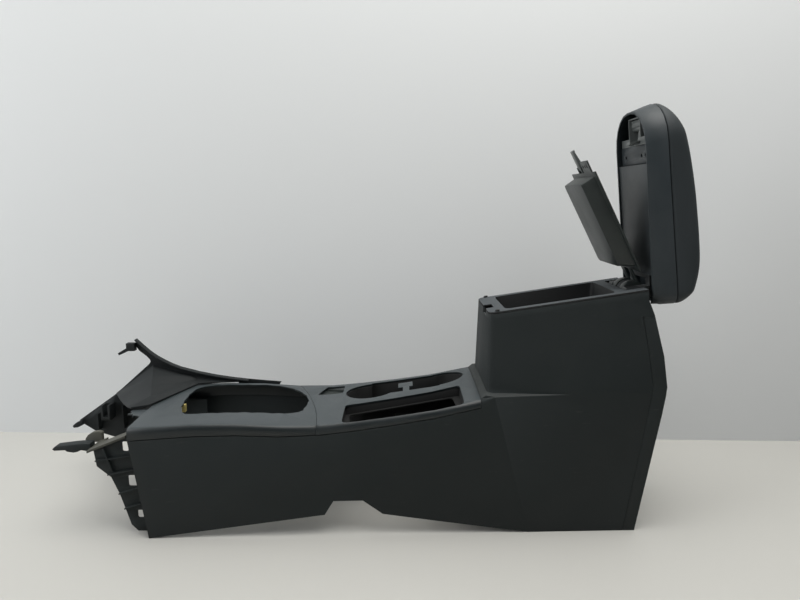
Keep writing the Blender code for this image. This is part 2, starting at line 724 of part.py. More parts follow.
def make_switch_blank(plastic):
    """Blanking plate under the small recess, with a raised rim."""
    (x0, x1), (y0, y1) = SWITCH_X, SWITCH_Y
    side = WALL
    top = deck_z((x0 + x1) / 2)
    blank = keep("switch_blank", block((x0 - side, y0 - side, top - 0.012),
                                       (x1 + side, y1 + side, top + 0.01)), plastic)
    cut(blank, "well", block((x0 + 0.001, y0 + 0.001, top - 0.010), (x1 - 0.001, y1 - 0.001, top + 0.02)))
    plate = ((x0, top - 0.0115), (x1, top - 0.0115), (x1, top - 0.007), (x0 + 0.008, top - 0.0045),
             (x0, top - 0.0045))
    join(blank, "plate", prism(plate, y0 + 0.006, y1 - 0.006))
    cut(blank, "deck_room", under_deck())
    return blank


def make_bin(plastic):
    """Storage bin with its rim flange and the hinge bay, in one moulding."""
    top = keep("storage_bin", loft([box_ring(share, 0) for share in (0.75, 1.0)]), plastic)
    cut(top, "underside", prism([(0.15, 0.2), (0.55, 0.2), (0.55, rim_z(0.55) - RIM_T),
                                 (0.15, rim_z(0.15) - RIM_T)], -0.2, 0.2))
    rings = []
    for z, draft in ((BIN_FLOOR_Z - THIN, BIN_DRAFT), (0.385, 0.0)):
        x0, x1 = BIN_FRONT_X - THIN + draft, BIN_REAR_X + THIN - draft
        y = BIN_HALF + THIN - draft
        rings.append([(px, py, z) for px, py in rounded(((x0, -y), (x1, -y), (x1, y), (x0, y)), 0.012, 3)])
    join(top, "walls", loft(rings))
    floor_low = (BAY_FRONT_X - THIN, -BAY_HALF - THIN, BAY_FLOOR_Z - THIN)
    join(top, "bay_walls", block(floor_low, (BOX_REAR_X - WALL - FIT, BAY_HALF + THIN, 0.376)))
    join(top, "bay_web", block((BIN_REAR_X - 0.004, -0.020, BAY_FLOOR_Z - THIN),
                               (BAY_FRONT_X + 0.001, 0.020, BAY_FLOOR_Z + 0.001)))
    rings = []
    for z, draft in ((BIN_FLOOR_Z, BIN_DRAFT), (0.42, -0.0015)):
        x0, x1 = BIN_FRONT_X + draft, BIN_REAR_X - draft
        y = BIN_HALF - draft
        rings.append([(px, py, z) for px, py in rounded(((x0, -y), (x1, -y), (x1, y), (x0, y)), 0.010, 3)])
    cut(top, "hollow", loft(rings))
    cut(top, "hinge_bay", hinge_bay(0))
    cut(top, "above_rim", prism(above_rim(0.15, 0.55, 0), -0.2, 0.2))
    cut(top, "strike_notch", strike_notch())
    return top


def lid_axis(name, opened):
    """An empty on the lids' axis. Its +X points to the nose and +Z away from the bin."""
    empty = bpy.data.objects.new(name, None)
    bpy.context.scene.collection.objects.link(empty)
    empty.location = (AXIS_X, 0, AXIS_Z)
    empty.rotation_euler = (0, RIM_SLOPE - opened, math.pi)
    return empty


def rod_hole(obj, label, low, high, radius=PIN_R + 0.0003, centre=(0.0, 0.0)):
    """A through hole along Y."""
    return cut(obj, label, disc(centre, radius, low, high))


def make_hinge(steel, dark, screw_steel):
    """Bracket, pin, spring and screws in the hinge bay."""
    base_z = BAY_FLOOR_Z + FIT
    ear_y = BAY_HALF - 0.002
    bracket = keep("hinge_bracket", block((BAY_FRONT_X + 0.003, -ear_y, base_z),
                                          (BRACKET_REAR_X, ear_y, base_z + PLATE_T)), steel)
    for label, low in (("left_ear", -ear_y), ("right_ear", ear_y - EAR_T)):
        ear = ((BAY_FRONT_X + 0.005, base_z), (BRACKET_REAR_X, base_z), (AXIS_X + EAR_R, AXIS_Z),
               (AXIS_X + EAR_R * 0.7, AXIS_Z + EAR_R * 0.7),
               (AXIS_X, AXIS_Z + EAR_R), (AXIS_X - EAR_R * 0.7, AXIS_Z + EAR_R * 0.7),
               (AXIS_X - EAR_R, AXIS_Z))
        join(bracket, label, prism(ear, low, low + EAR_T))
    rod_hole(bracket, "pin_hole", -0.06, 0.06, centre=(AXIS_X, AXIS_Z))
    keep("hinge_pin", disc((AXIS_X, AXIS_Z), PIN_R, -ear_y - 0.001, ear_y + 0.001, sides=16), steel,
         smooth=True)
    spring = keep("hinge_spring", disc((AXIS_X, AXIS_Z), DRUM_R - 0.004, -0.0075, 0.0075), dark,
                  smooth=True)
    for step in range(4):
        y = -0.0065 + 0.0036 * step
        join(spring, f"coil_{step + 1}", disc((AXIS_X, AXIS_Z), DRUM_R - 0.002, y, y + 0.0022))
    join(spring, "leg", block((AXIS_X - 0.003, -0.006, base_z + PLATE_T + FIT),
                              (AXIS_X + 0.003, 0.006, AXIS_Z - 0.008)))
    rod_hole(spring, "pin_hole", -0.02, 0.02, centre=(AXIS_X, AXIS_Z))
    for index, (x, y) in enumerate(((x, y) for x in BRACKET_SCREW_X for y in BRACKET_SCREW_Y)):
        low = base_z + PLATE_T + FIT
        keep(f"bracket_screw_{index + 1}", disc((x, y), SCREW_R - 0.0005, low, low + SCREW_HEAD_T, "z",
                                                12), screw_steel)


def armrest_outline(start, end, half, grow=0.0, steps=5):
    """Plan outline of the armrest at one height, round at the nose."""
    corners = ((start - grow, -half - grow), (end + grow, -half - grow), (end + grow, half + grow),
               (start - grow, half + grow))
    points = []
    for i, (s, y) in enumerate(corners):
        radius = NOSE_R if i in (1, 2) else HEEL_R
        radius = min(radius, half) + grow
        centre = (s - math.copysign(radius, s - 0.1), y - math.copysign(radius, y))
        first = (180, 270, 0, 90)[i]
        for k in range(steps + 1):
            turn = math.radians(first + 90 * k / steps)
            points.append((centre[0] + radius * math.cos(turn), centre[1] + radius * math.sin(turn)))
    return points


def seam_h(s):
    """Height of the armrest's seam at s."""
    return SEAM_H_REAR + (SEAM_H_NOSE - SEAM_H_REAR) * (s - LIP_START) / (SEAM_END - LIP_START)


def shell_ring(share, inset):
    """A ring of the lower shell, from share 0 at its lip to 1 at its seam."""
    end = LIP_END + (SEAM_END - LIP_END) * share
    half = LIP_HALF + (SEAM_HALF - LIP_HALF) * share
    outline = armrest_outline(LIP_START, end, half, -inset)
    return [(s, y, ARMREST_ABOVE_AXIS + (seam_h(s) - ARMREST_ABOVE_AXIS) * share) for s, y in outline]


def make_armrest(plastic, liner_plastic, fabric, steel, latch_plastic, parent):
    """Armrest lid: shell, pad, liner, latch parts and hinge leaf."""
    shell = keep("armrest_shell", loft([shell_ring(share, 0) for share in (0, 1)]), plastic, parent,
                 smooth=True)
    inner = [shell_ring(share, WALL) for share in (0, 1)]
    below = [(s, y, h - 0.01) for s, y, h in inner[0]]
    roof = [(s, y, h - WALL) for s, y, h in inner[1]]
    cut(shell, "inside", loft([below, inner[0], roof]))
    cut(shell, "hinge_cut", block((-0.03, -BAY_HALF - 0.003, -0.03),
                                  (HINGE_CUT_S, BAY_HALF + 0.003, 0.030)))
    low = ARMREST_ABOVE_AXIS + LINER_INSET
    seat = low + THIN + FIT
    step_h = seat + COVER_INSET - LINER_INSET
    step_s = LINER_END + FIT
    ledge_end = COVER_END + LEDGE_REACH
    ledge = ((HINGE_CUT_S, seat), (step_s, seat), (step_s, step_h), (ledge_end, step_h),
             (ledge_end, step_h + THIN),
             (step_s - THIN, step_h + THIN), (step_s - THIN, seat + THIN), (HINGE_CUT_S, seat + THIN))
    for label, side in (("left_ledge", 1), ("right_ledge", -1)):
        y0, y1 = sorted((side * LEDGE_INNER, side * LEDGE_OUTER))
        join(shell, label, prism(ledge, y0, y1))
    liner_half = LIP_HALF - WALL - FIT
    liner = keep("armrest_liner", block((HINGE_CUT_S, -liner_half, low),
                                        (LINER_END, liner_half, low + THIN)), liner_plastic, parent)
    high = ARMREST_ABOVE_AXIS + COVER_INSET
    plate_form = block((LINER_END + FIT, -liner_half, high), (COVER_END, liner_half, high + THIN))
    plate = keep("latch_cover_plate", plate_form, plastic, parent)
    for index, y in enumerate((-0.040, 0.024, 0.040)):
        cut(plate, f"hole_{index + 1}", disc((LINER_END + 0.013, y), 0.003, 0.0, 0.04, "z", 12))
    make_armrest_latch(latch_plastic, steel, parent)
    rings = []
    heights = (0.0, 0.6, 0.86, 1.0)
    pulls = (0.0, 0.0, 0.003, 0.010)
    for height, pull in zip(heights, pulls):
        ring = []
        for s, y in armrest_outline(LIP_START, SEAM_END, SEAM_HALF, -pull):
            base = seam_h(s) + FIT
            held = min(max(s, PAD_LINE[0][0]), PAD_LINE[-1][0])
            ring.append((s, y, base + (on_line(PAD_LINE, held) - base) * height))
        rings.append(ring)
    keep("armrest_pad", loft(rings), fabric, parent, smooth=True)
    leaf_h = low + THIN + FIT
    leaf = keep("armrest_hinge_leaf", block((HINGE_CUT_S - 0.008, -0.040, leaf_h),
                                            (HINGE_CUT_S + 0.030, 0.040, leaf_h + PLATE_T)), steel,
                parent, smooth=True)
    for label, y0, y1 in (("left", -0.0395, -0.0235), ("right", 0.0235, 0.0395)):
        join(leaf, f"{label}_arm", block((-0.006, y0, 0.0), (HINGE_CUT_S, y1, leaf_h + PLATE_T)))
        join(leaf, f"{label}_drum", disc((0, 0), DRUM_R, y0, y1, sides=28))
        cut(leaf, f"{label}_relief", block((DRUM_R * 0.6, y0 - 0.001, -2 * DRUM_R),
                                           (0.07, y1 + 0.001, leaf_h)))
    rod_hole(leaf, "pin_hole", -0.06, 0.06)
    return shell


def make_armrest_latch(latch_plastic, steel, parent):
    """Housing, pin and lever of the armrest's latch."""
    low = ARMREST_ABOVE_AXIS + COVER_INSET
    s0, s1 = COVER_END + FIT, LATCH_BAY_END
    half = LEVER_HALF + 0.0012
    roof = seam_h(s0) - WALL - 0.002
    housing = keep("latch_housing", block((s0, -half - HOUSING_T, low), (s1, half + HOUSING_T, roof)),
                   latch_plastic, parent)
    cut(housing, "room", block((s0 + HOUSING_T, -half, low - 0.01),
                               (s1 - HOUSING_T, half, roof - HOUSING_T)))
    for label, side in (("left_ear", 1), ("right_ear", -1)):
        y0, y1 = sorted((side * (half + HOUSING_T - 0.001), side * (LIP_HALF - WALL - 0.004)))
        join(housing, label, block((s0, y0, low), (s0 + 0.012, y1, low + THIN)))
    rod_hole(housing, "pin_hole", -0.04, 0.04, LEVER_PIN_R + FIT, (LEVER_PIN_S, LEVER_PIN_H))
    reach = half + HOUSING_T
    keep("armrest_latch_pin", disc((LEVER_PIN_S, LEVER_PIN_H), LEVER_PIN_R, -reach, reach, sides=12),
         steel, parent, smooth=True)
    axis = bpy.data.objects.new("armrest_latch_axis", None)
    bpy.context.scene.collection.objects.link(axis)
    axis.location = (LEVER_PIN_S, 0, LEVER_PIN_H)
    axis.parent = parent
    tip = HOOK_TIP_H - LEVER_PIN_H
    hook_s = HOOK_S - LEVER_PIN_S
    outline = ((-0.004, 0.004), (hook_s, -0.001), (hook_s, tip + 0.008), (hook_s - 0.003, tip + 0.006),
               (hook_s - 0.0015, tip), (hook_s + 0.003, tip), (hook_s + 0.004, -0.007), (-0.004, -0.0045))
    lever = keep("armrest_latch", prism(outline, HOOK_INNER, LEVER_HALF), latch_plastic, axis)
    join(lever, "barrel", disc((0, 0), 0.0045, -LEVER_HALF, LEVER_HALF, sides=16))
    join(lever, "paddle", block((0.002, -LEVER_HALF, -0.0055), (0.0125, LEVER_HALF, -0.0030)))
    rod_hole(lever, "pin_hole", -0.04, 0.04, LEVER_PIN_R + FIT)


def make_tray(plastic, latch_plastic, steel, parent):
    """Inner tray lid with its latch block, prong and hinge arms."""
    top = RIM_ABOVE_AXIS + FIT
    tray = keep("tray", block((TRAY_START, -TRAY_HALF, top), (TRAY_END, TRAY_HALF, top + FLANGE_T)),
                plastic, parent)
    wall = 0.0022
    rings = []
    for h, draft in ((PAN_FLOOR_H, 0.003), (top + 0.001, 0.0)):
        s0, s1, y = PAN_START + draft * 4, PAN_END - draft, PAN_HALF - draft
        rings.append([(s, v, h) for s, v in rounded(((s0, -y), (s1, -y), (s1, y), (s0, y)), 0.006, 2)])
    join(tray, "pan", loft(rings))
    rings = []
    for h, draft in ((PAN_FLOOR_H + wall, 0.003), (top + 0.02, 0.0)):
        s0, s1, y = PAN_START + draft * 4 + wall, PAN_END - draft - wall, PAN_HALF - draft - wall
        rings.append([(s, v, h) for s, v in rounded(((s0, -y), (s1, -y), (s1, y), (s0, y)), 0.005, 2)])
    cut(tray, "pan_hollow", loft(rings))
    block_y = (0.010, 0.045)
    join(tray, "latch_block", block((TRAY_END - 0.002, block_y[0], top),
                                    (TRAY_END + 0.019, block_y[1], top + 0.0023)))
    for step in range(3):
        y = block_y[0] + 0.008 + 0.0095 * step
        cut(tray, f"hole_{step + 1}", disc((TRAY_END + 0.010, y), 0.0022, 0.0, 0.04, "z", 10))
    prong_y = (-PRONG_Y[1], -PRONG_Y[0])
    gap = 0.0005
    for label, y0, y1 in (("prong_ear_1", prong_y[0] - gap - 0.003, prong_y[0] - gap),
                          ("prong_ear_2", prong_y[1] + gap, prong_y[1] + gap + 0.003)):
        join(tray, label, block((TRAY_END - 0.003, y0, top),
                                (PRONG_PIN_S + 0.004, y1, PRONG_PIN_H + 0.0035)))
    rod_hole(tray, "prong_hole", prong_y[0] - 0.01, prong_y[1] + 0.01, 0.0015 + FIT,
             (PRONG_PIN_S, PRONG_PIN_H))
    for label, y0, y1 in (("left", -0.0230, -0.0085), ("right", 0.0085, 0.0230)):
        join(tray, f"{label}_arm", block((0.0, y0, top), (TRAY_START + 0.003, y1, top + FLANGE_T)))
        join(tray, f"{label}_drum", disc((0, 0), DRUM_R - 0.001, y0, y1, sides=28))
    rod_hole(tray, "pin_hole", -0.06, 0.06)
    keep("tray_latch_pin", disc((PRONG_PIN_S, PRONG_PIN_H), 0.0015, prong_y[0] - gap - 0.003,
                                prong_y[1] + gap + 0.003, sides=10), steel, parent)
    axis = bpy.data.objects.new("tray_latch_axis", None)
    bpy.context.scene.collection.objects.link(axis)
    axis.location = (PRONG_PIN_S, 0, PRONG_PIN_H)
    axis.parent = parent
    reach = PRONG_REACH - PRONG_PIN_S
    low = top - PRONG_PIN_H + FIT
    outline = ((-0.003, 0.002), (-0.003, -0.002), (0.0, -0.0035), (reach, low),
               (reach + 0.001, low + 0.004), (reach - 0.004, low + 0.0035), (0.002, 0.003))
    prong = keep("tray_latch", prism(outline, prong_y[0], prong_y[1]), latch_plastic, axis)
    rod_hole(prong, "pin_hole", -0.05, 0.05, 0.0015 + FIT)
    return tray


def make_carrier(name, plastic, side):
    """Ribbed front carrier, inboard of the side wall, with its three clip windows."""
    inner, outer = side * (CARRIER_Y - THIN), side * CARRIER_Y
    outline = [(x, straight_down((BRACE_FRONT, BRACE_REAR), x) - FIT if z is None else z) for x,
               z in CARRIER_LINE]
    carrier = keep(name, prism(outline, min(inner, outer), max(inner, outer)), plastic)
    y0, y1 = sorted((side * (CARRIER_Y - 0.0005), side * (CARRIER_Y + CARRIER_RIB_H)))
    for index, ((x_front, z_front), (x_rear, z_rear)) in enumerate(CARRIER_RIBS):
        rib = ((x_front, z_front - THIN / 2), (x_rear, z_rear - THIN / 2), (x_rear, z_rear + THIN / 2),
               (x_front, z_front + THIN / 2))
        join(carrier, f"rib_{index + 1}", prism(rib, y0, y1))
    join(carrier, "upright", prism(CARRIER_UPRIGHT, y0, y1))
    for index, (x, z, long, tall) in enumerate(WINDOWS):
        corners = ((x - long / 2, z - tall / 2), (x + long / 2, z - tall / 2),
                   (x + long / 2, z + tall / 2), (x - long / 2, z + tall / 2))
        cut(carrier, f"window_{index + 1}", prism(rounded(corners, 0.0025, 2), -0.2, 0.2))
    wall_y = width_at(-0.29) - WALL - FIT
    for index, z in enumerate((0.048, 0.126)):
        y0, y1 = sorted((side * (CARRIER_Y - 0.001), side * wall_y))
        join(carrier, f"boss_{index + 1}", disc((-0.290, z), 0.006, y0, y1, sides=16))
    return carrier


def make_brace(plastic):
    """Front brace on the near carrier, with its raised lug."""
    (x1, z1), (x0, z0) = BRACE_REAR, BRACE_FRONT
    slab = ((x0, z0), (x1, z1), (x1, z1 + BRACE_T), (x0, z0 + BRACE_T))
    reach = CARRIER_Y + CARRIER_RIB_H - 0.001
    brace = keep("front_brace", prism(slab, -reach, BRACE_FAR_Y), plastic)
    room = ((x0 + 0.016, 0.1), (x1 + 0.01, 0.1), (x1 + 0.01, 0.2), (x0 + 0.016, 0.2))
    cut(brace, "room", prism(room, -reach + 0.024, 0.1))
    join(brace, "lug", prism(BRACE_LUG, BRACE_FAR_Y - BRACE_T, BRACE_FAR_Y + 2 * THIN))
    return brace


def deck_top(x, y):
    """Height of the deck's top at a point."""
    half = width_at(x) / 2
    fade = max(0.0, (abs(y) - half) / (half - DECK_EDGE))
    return deck_z(max(x, FRONT_TOP_X)) + 0.75 * DECK_CROWN * max(0.0, 1 - fade)


def shoulder():
    """The sheet that falls from the cover to the deck."""
    inner = COVER_PLANE - COVER_T + 0.001
    low = []
    for x, share in SHOULDER_LOW:
        y = share * FRONT_HALF
        low.append((x, y, deck_top(x, y) + SHOULDER_RISE - (0.003 if x < FRONT_TOP_X - 0.01 else 0)))
    high = [(x, inner, z) for x, z in SHOULDER_HIGH]
    bm = bmesh.new()
    rows = []
    for k in range(5):
        t = k / 4
        sag = -0.006 * math.sin(math.pi * t)
        rows.append([tuple(Vector(a).lerp(Vector(b), t) + Vector((0, 0, sag * (1 - i / 5)))) for i,
                     (a, b) in enumerate(zip(low, high))])
    count = len(low)
    sheet = [[bm.verts.new(p) for p in row] for row in rows]
    over = [[bm.verts.new((p[0], p[1], p[2] + COVER_T)) for p in row] for row in rows]
    for a, b in zip(range(4), range(1, 5)):
        for c in range(count - 1):
            bm.faces.new((sheet[a][c], sheet[a][c + 1], sheet[b][c + 1], sheet[b][c]))
            bm.faces.new((over[a][c], over[b][c], over[b][c + 1], over[a][c + 1]))
    last = count - 1
    edge = [(0, c) for c in range(count)] + [(r, last) for r in range(1, 5)]
    edge += [(4, c) for c in range(last - 1, -1, -1)] + [(r, 0) for r in (3, 2, 1)]
    for i, (r, c) in enumerate(edge):
        r2, c2 = edge[(i + 1) % len(edge)]
        bm.faces.new((sheet[r][c], over[r][c], over[r2][c2], sheet[r2][c2]))
    return bm


def make_side_cover(plastic):
    """Far side's front cover: panel, swept flange, arm with its clip, and the shoulder down to the deck."""
    y1 = COVER_PLANE
    y0 = y1 - COVER_T
    top = [(x, on_line(tuple(reversed(COVER_TOP)), x)) for x in COVER_STEPS]
    tail = COVER_TAIL_X
    under = [(x, deck_z(x) + DECK_CROWN + FIT) for x in (*COVER_UNDER_X, tail - 0.0005)]
    under += [(x, deck_z(x) - COVER_TAIL_DROP) for x in (tail + 0.0005, COVER_STEPS[0] - 0.005)]
    cover = keep("side_cover_right", prism(top + list(ARM_UNDER) + list(COVER_FRONT) + under, y0, y1),
                 plastic)
    rings = []
    for x, z in top[2:]:
        rings.append([(x, y0 - FLANGE_WIDTH, z - 0.0022), (x, y1, z - 0.0022), (x, y1, z),
                      (x, y0 - FLANGE_WIDTH, z)])
    join(cover, "flange", loft(rings))
    join(cover, "shoulder", shoulder())
    join(cover, "arm_clip", prism(ARM_PRONG, y0 - 0.006, y0 - 0.002))
    join(cover, "arm_clip_far", prism(ARM_PRONG, y1 - 0.004, y1))
    join(cover, "clip_block", block((-0.4215, y0 - FLANGE_WIDTH, 0.2465), (-0.4065, y1 - 0.001, 0.2605)))
    join(cover, "tip_clip", prism(TIP_PRONG, y0 - 0.008, y0 + 0.001))
    (x_low, z_low), (x_high, z_high) = CLIP_TOWER
    join(cover, "clip_tower", block((x_low, y0 - 0.022, z_low), (x_high, y0 + 0.001, z_high)))
    cut(cover, "tower_slot", block((x_low + 0.004, y0 - 0.030, z_low + 0.006),
                                   (x_high - 0.004, y0 - 0.006, z_high + 0.01)))
    for index, x in enumerate((-0.484, -0.436)):
        join(cover, f"rib_{index + 1}", block((x, y0 - 0.014, 0.094 + 0.004 * index),
                                              (x + THIN, y0 + 0.001, 0.126 + 0.016 * index)))
    return cover


def make_locator(plastic):
    """Dark locating tongue in front of the brace."""
    return keep("front_locator", prism(LOCATOR, *LOCATOR_Y), plastic)


def make_opening_clips(spring_steel):
    """Two folded spring clips on the gear lever opening's edge."""
    for name, x, y in (("opening_clip_front", -0.2855, -0.002), ("opening_clip_rear", -0.095, -0.0560)):
        top = deck_z(x) + 0.75 * DECK_CROWN - WALL - 0.0008
        keep(name, block((x - 0.005, y - 0.004, top - 0.013), (x + 0.005, y + 0.004, top)), spring_steel)


def make_bump_stops(rubber):
    """Two small buffers that lie on the sloping rim."""
    for name, side in (("bump_stop_left", -1), ("bump_stop_right", 1)):
        rings = []
        for lift in (FIT, BUMP_T):
            ring = []
            for step in range(12):
                turn = math.pi * step / 6
                x = BUMP_X + BUMP_R * math.cos(turn)
                ring.append((x, side * BUMP_Y + BUMP_R * math.sin(turn), rim_z(x) + lift))
            rings.append(ring)
        keep(name, loft(rings), rubber)


def clear_scene():
    """Remove what the file starts with."""
    for obj in list(bpy.data.objects):
        bpy.data.objects.remove(obj, do_unlink=True)


def main():
    """Build every piece."""
    clear_scene()
    skin = paint("moulded_polypropylene", (0.022, 0.027, 0.029), 0.55)
    deck_plastic = paint("grained_deck_plastic", (0.060, 0.066, 0.072), 0.45)
    inner_plastic = paint("inner_plastic", (0.012, 0.012, 0.013), 0.6)
    shell_plastic = paint("armrest_plastic", (0.035, 0.040, 0.045), 0.5)
    liner_plastic = paint("liner_plastic", (0.075, 0.080, 0.085), 0.35)
    tray_plastic = paint("tray_plastic", (0.080, 0.088, 0.088), 0.5)
    brace_plastic = paint("brace_plastic", (0.170, 0.165, 0.140), 0.6)
    latch_plastic = paint("latch_plastic", (0.100, 0.110, 0.110), 0.45)
    fabric = paint("armrest_cover", (0.022, 0.024, 0.028), 0.8)
    steel = paint("zinc_plated_steel", (0.40, 0.40, 0.40), 0.4, 1.0)
    dark_steel = paint("blackened_steel", (0.03, 0.03, 0.03), 0.45, 1.0)
    clip_steel = paint("yellow_zinc_clip", (0.55, 0.45, 0.18), 0.4, 1.0)
    rubber = paint("rubber", (0.010, 0.010, 0.010), 0.8)
    make_body(skin)
    make_rear_cover(skin)
    make_front_deck(deck_plastic)
    make_mid_deck(deck_plastic)
    make_cup_insert(inner_plastic)
    make_slot_frame(inner_plastic)
    make_switch_blank(tray_plastic)
    make_bin(skin)
    make_hinge(dark_steel, dark_steel, steel)
    armrest_axis = lid_axis("armrest_axis", ARMREST_OPEN)
    make_armrest(shell_plastic, liner_plastic, fabric, dark_steel, latch_plastic, armrest_axis)
    tray_axis = lid_axis("tray_axis", TRAY_OPEN)
    make_tray(tray_plastic, latch_plastic, steel, tray_axis)
    for name, side in (("front_carrier_left", -1), ("front_carrier_right", 1)):
        make_carrier(name, skin, side)
    make_brace(brace_plastic)
    make_locator(skin)
    make_side_cover(skin)
    make_opening_clips(clip_steel)
    make_bump_stops(rubber)


main()
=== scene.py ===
"""Car center console: the finish of every piece, the armrest's cushion and the studio round it.

Lengths are in metres unless a name ends in _mm, and angles are in degrees. +X points to the
car's rear, +Y to the far side and +Z up.
"""

import logging
import math
from dataclasses import dataclass
from enum import Enum

import bmesh
import bpy
from mathutils import Matrix, Vector, noise


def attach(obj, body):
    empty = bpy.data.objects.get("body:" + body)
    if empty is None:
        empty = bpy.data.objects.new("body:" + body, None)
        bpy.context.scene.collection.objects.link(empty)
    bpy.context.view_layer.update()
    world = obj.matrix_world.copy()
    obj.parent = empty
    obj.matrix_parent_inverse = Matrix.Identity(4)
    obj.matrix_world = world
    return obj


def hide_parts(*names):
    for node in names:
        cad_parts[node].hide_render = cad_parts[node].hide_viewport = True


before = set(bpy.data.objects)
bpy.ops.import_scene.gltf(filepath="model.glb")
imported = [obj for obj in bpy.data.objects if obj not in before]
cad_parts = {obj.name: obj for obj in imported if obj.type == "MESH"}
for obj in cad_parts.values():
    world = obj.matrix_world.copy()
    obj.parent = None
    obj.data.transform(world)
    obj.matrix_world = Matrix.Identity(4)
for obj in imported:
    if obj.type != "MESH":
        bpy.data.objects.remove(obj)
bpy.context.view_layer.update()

LOG = logging.getLogger("center_console")

Colour = tuple[float, float, float, float]
Point = tuple[float, float, float]

# Index of refraction of the plastics, the cover and the rubber
PLASTIC_IOR = 1.50
COVER_IOR = 1.52
RUBBER_IOR = 1.52

# Dust: the size of its patches, the noise values between which a patch sets in, how much
# rougher a dusty place is, and the least strength that this is measured against
PATCH_MM = 90.0
PATCH_RANGE = (0.42, 0.72)
DUSTY_ROUGHNESS = 0.12
LEAST_DUST = 0.01
# Rub marks: their size, how far they are drawn out, and the noise values between which one shows
MARK_MM = 7.0
MARK_STRETCH = (5.0, 5.0, 1.0)
MARK_RANGE = (0.66, 0.80)
# Dust and painted sheen on faces that look up: the upward share of a face's normal where they start
# and where they are full
LEVEL_RANGE = (0.72, 0.96)
# How strongly the mould's grain shows
GRAIN_STRENGTH = 0.6
# Clouds on metal: their size, and how much smoother and rougher they make it
METAL_CLOUD_MM = 6.0
METAL_SMOOTHER = 0.08
METAL_ROUGHER = 0.12
# A pattern that is the same size along all axes
EVEN = (1.0, 1.0, 1.0)

# Sockets of a Mix node that mixes colours, which has several of the same name
MIX_SHARE = 0
MIX_UNDER = 6
MIX_OVER = 7
MIX_RESULT = 2

# Edges sharper than this are rounded, and points closer than this are one point
SHARP_EDGE = 32.0
SAME_POINT = 1e-6

# The lids' axis, the slope of the box's rim, and how far the armrest is opened in the photograph
AXIS = Vector((0.456, 0.0, 0.3745))
RIM_SLOPE = 8.6
ARMREST_OPEN = 92.0

# The cushion's top line: distance from the axis towards the nose, and height above the axis
TOP_LINE = (
    (-0.018, 0.0670),
    (0.0, 0.0805),
    (0.020, 0.0885),
    (0.050, 0.0920),
    (0.10, 0.0910),
    (0.15, 0.0885),
    (0.20, 0.0835),
    (0.24, 0.0765),
    (0.265, 0.0675),
    (0.289, 0.0560),
)
# Rings at the seam, each as how far in it lies and how far above the seam
SEAM_RINGS = ((0.0030, 0.0), (0.0010, 0.0012), (0.0, 0.0040))
SEAM_HEIGHT = SEAM_RINGS[-1][1]
# Rings over the roll and the top, each as how far in it lies
TOP_INSETS = (
    0.0001, 0.0008, 0.0022, 0.0045, 0.0080, 0.0125, 0.0190, 0.0270, 0.0370, 0.0480, 0.0590, 0.0690
)
# The rolled edge: its width, and the power of its curve
ROLL_WIDTH = 0.013
ROLL_POWER = 2.4
# The top sinks a little towards its edge, over this width
EDGE_SINK = 0.0016
EDGE_SINK_WIDTH = 0.050
# Slight wrinkles: their height, how many there are to a metre, and where the noise is cut
WRINKLE = 0.0004
WRINKLES_PER_METRE = 55.0
WRINKLE_CUT = 3.0
# Steps round a corner, along a long side and along a short side of the cushion
CORNER_STEPS = 8
LONG_SIDE_STEPS = 10
SHORT_SIDE_STEPS = 5

# Camera of the photograph, worked out from its vanishing lines
CAMERA_AT = Vector((0.082, -0.972, 0.527))
CAMERA_PITCH = 80.2
CAMERA_LENS_MM = 27.0
CAMERA_SENSOR_MM = 36.0
CAMERA_NEAREST = 0.05

# Paint of the table and the wall, and the faint light of the room
PAINT_ROUGHNESS = 0.6
ROOM_COLOUR = "e6ebf0"
ROOM_STRENGTH = 0.10


class Grain(Enum):
    """How a surface was textured in its mould, as the size of one cell in millimetres."""

    SMOOTH = 0.0
    FINE = 0.5
    COARSE = 0.9
    HIDE = 1.3


class Edge(Enum):
    """How widely the edges of a piece are rounded, in metres."""

    PIN = 0.0002
    LEVER = 0.0003
    FITTING = 0.0004
    TRIM = 0.0005
    PANEL = 0.0007
    SHELL = 0.0008


def linear(hex_colour: str) -> Colour:
    """Turn an sRGB colour into the linear values that a shader needs.

    Args:
        hex_colour: Six hexadecimal digits.

    Returns:
        Linear red, green, blue and an alpha of 1.
    """
    values = [int(hex_colour[i : i + 2], 16) / 255 for i in (0, 2, 4)]
    red, green, blue = (v / 12.92 if v <= 0.04045 else ((v + 0.055) / 1.055) ** 2.4 for v in values)
    return (red, green, blue, 1.0)


def add_node(
    tree: bpy.types.NodeTree, kind: str, inputs: dict | None = None, **settings: object
) -> bpy.types.Node:
    """Add one node to a tree.

    Args:
        tree: The node tree.
        kind: Blender's name of the node type.
        inputs: What goes into each input, either a value or a socket to link. An input is
            given by its name, or by its number where several have the same name.
        settings: The node's own properties.

    Returns:
        The new node.
    """
    node = tree.nodes.new(kind)
    for name, value in settings.items():
        setattr(node, name, value)
    for name, value in (inputs or {}).items():
        if isinstance(value, bpy.types.NodeSocket):
            tree.links.new(value, node.inputs[name])
        else:
            node.inputs[name].default_value = value
    return node


def new_material(name: str) -> tuple[bpy.types.Material, bpy.types.Node]:
    """Make a material that holds only a Principled shader and its output.

    Args:
        name: The material's name.

    Returns:
        The material and its Principled node.
    """
    material = bpy.data.materials.new(name)
    material.use_nodes = True
    return material, material.node_tree.nodes["Principled BSDF"]


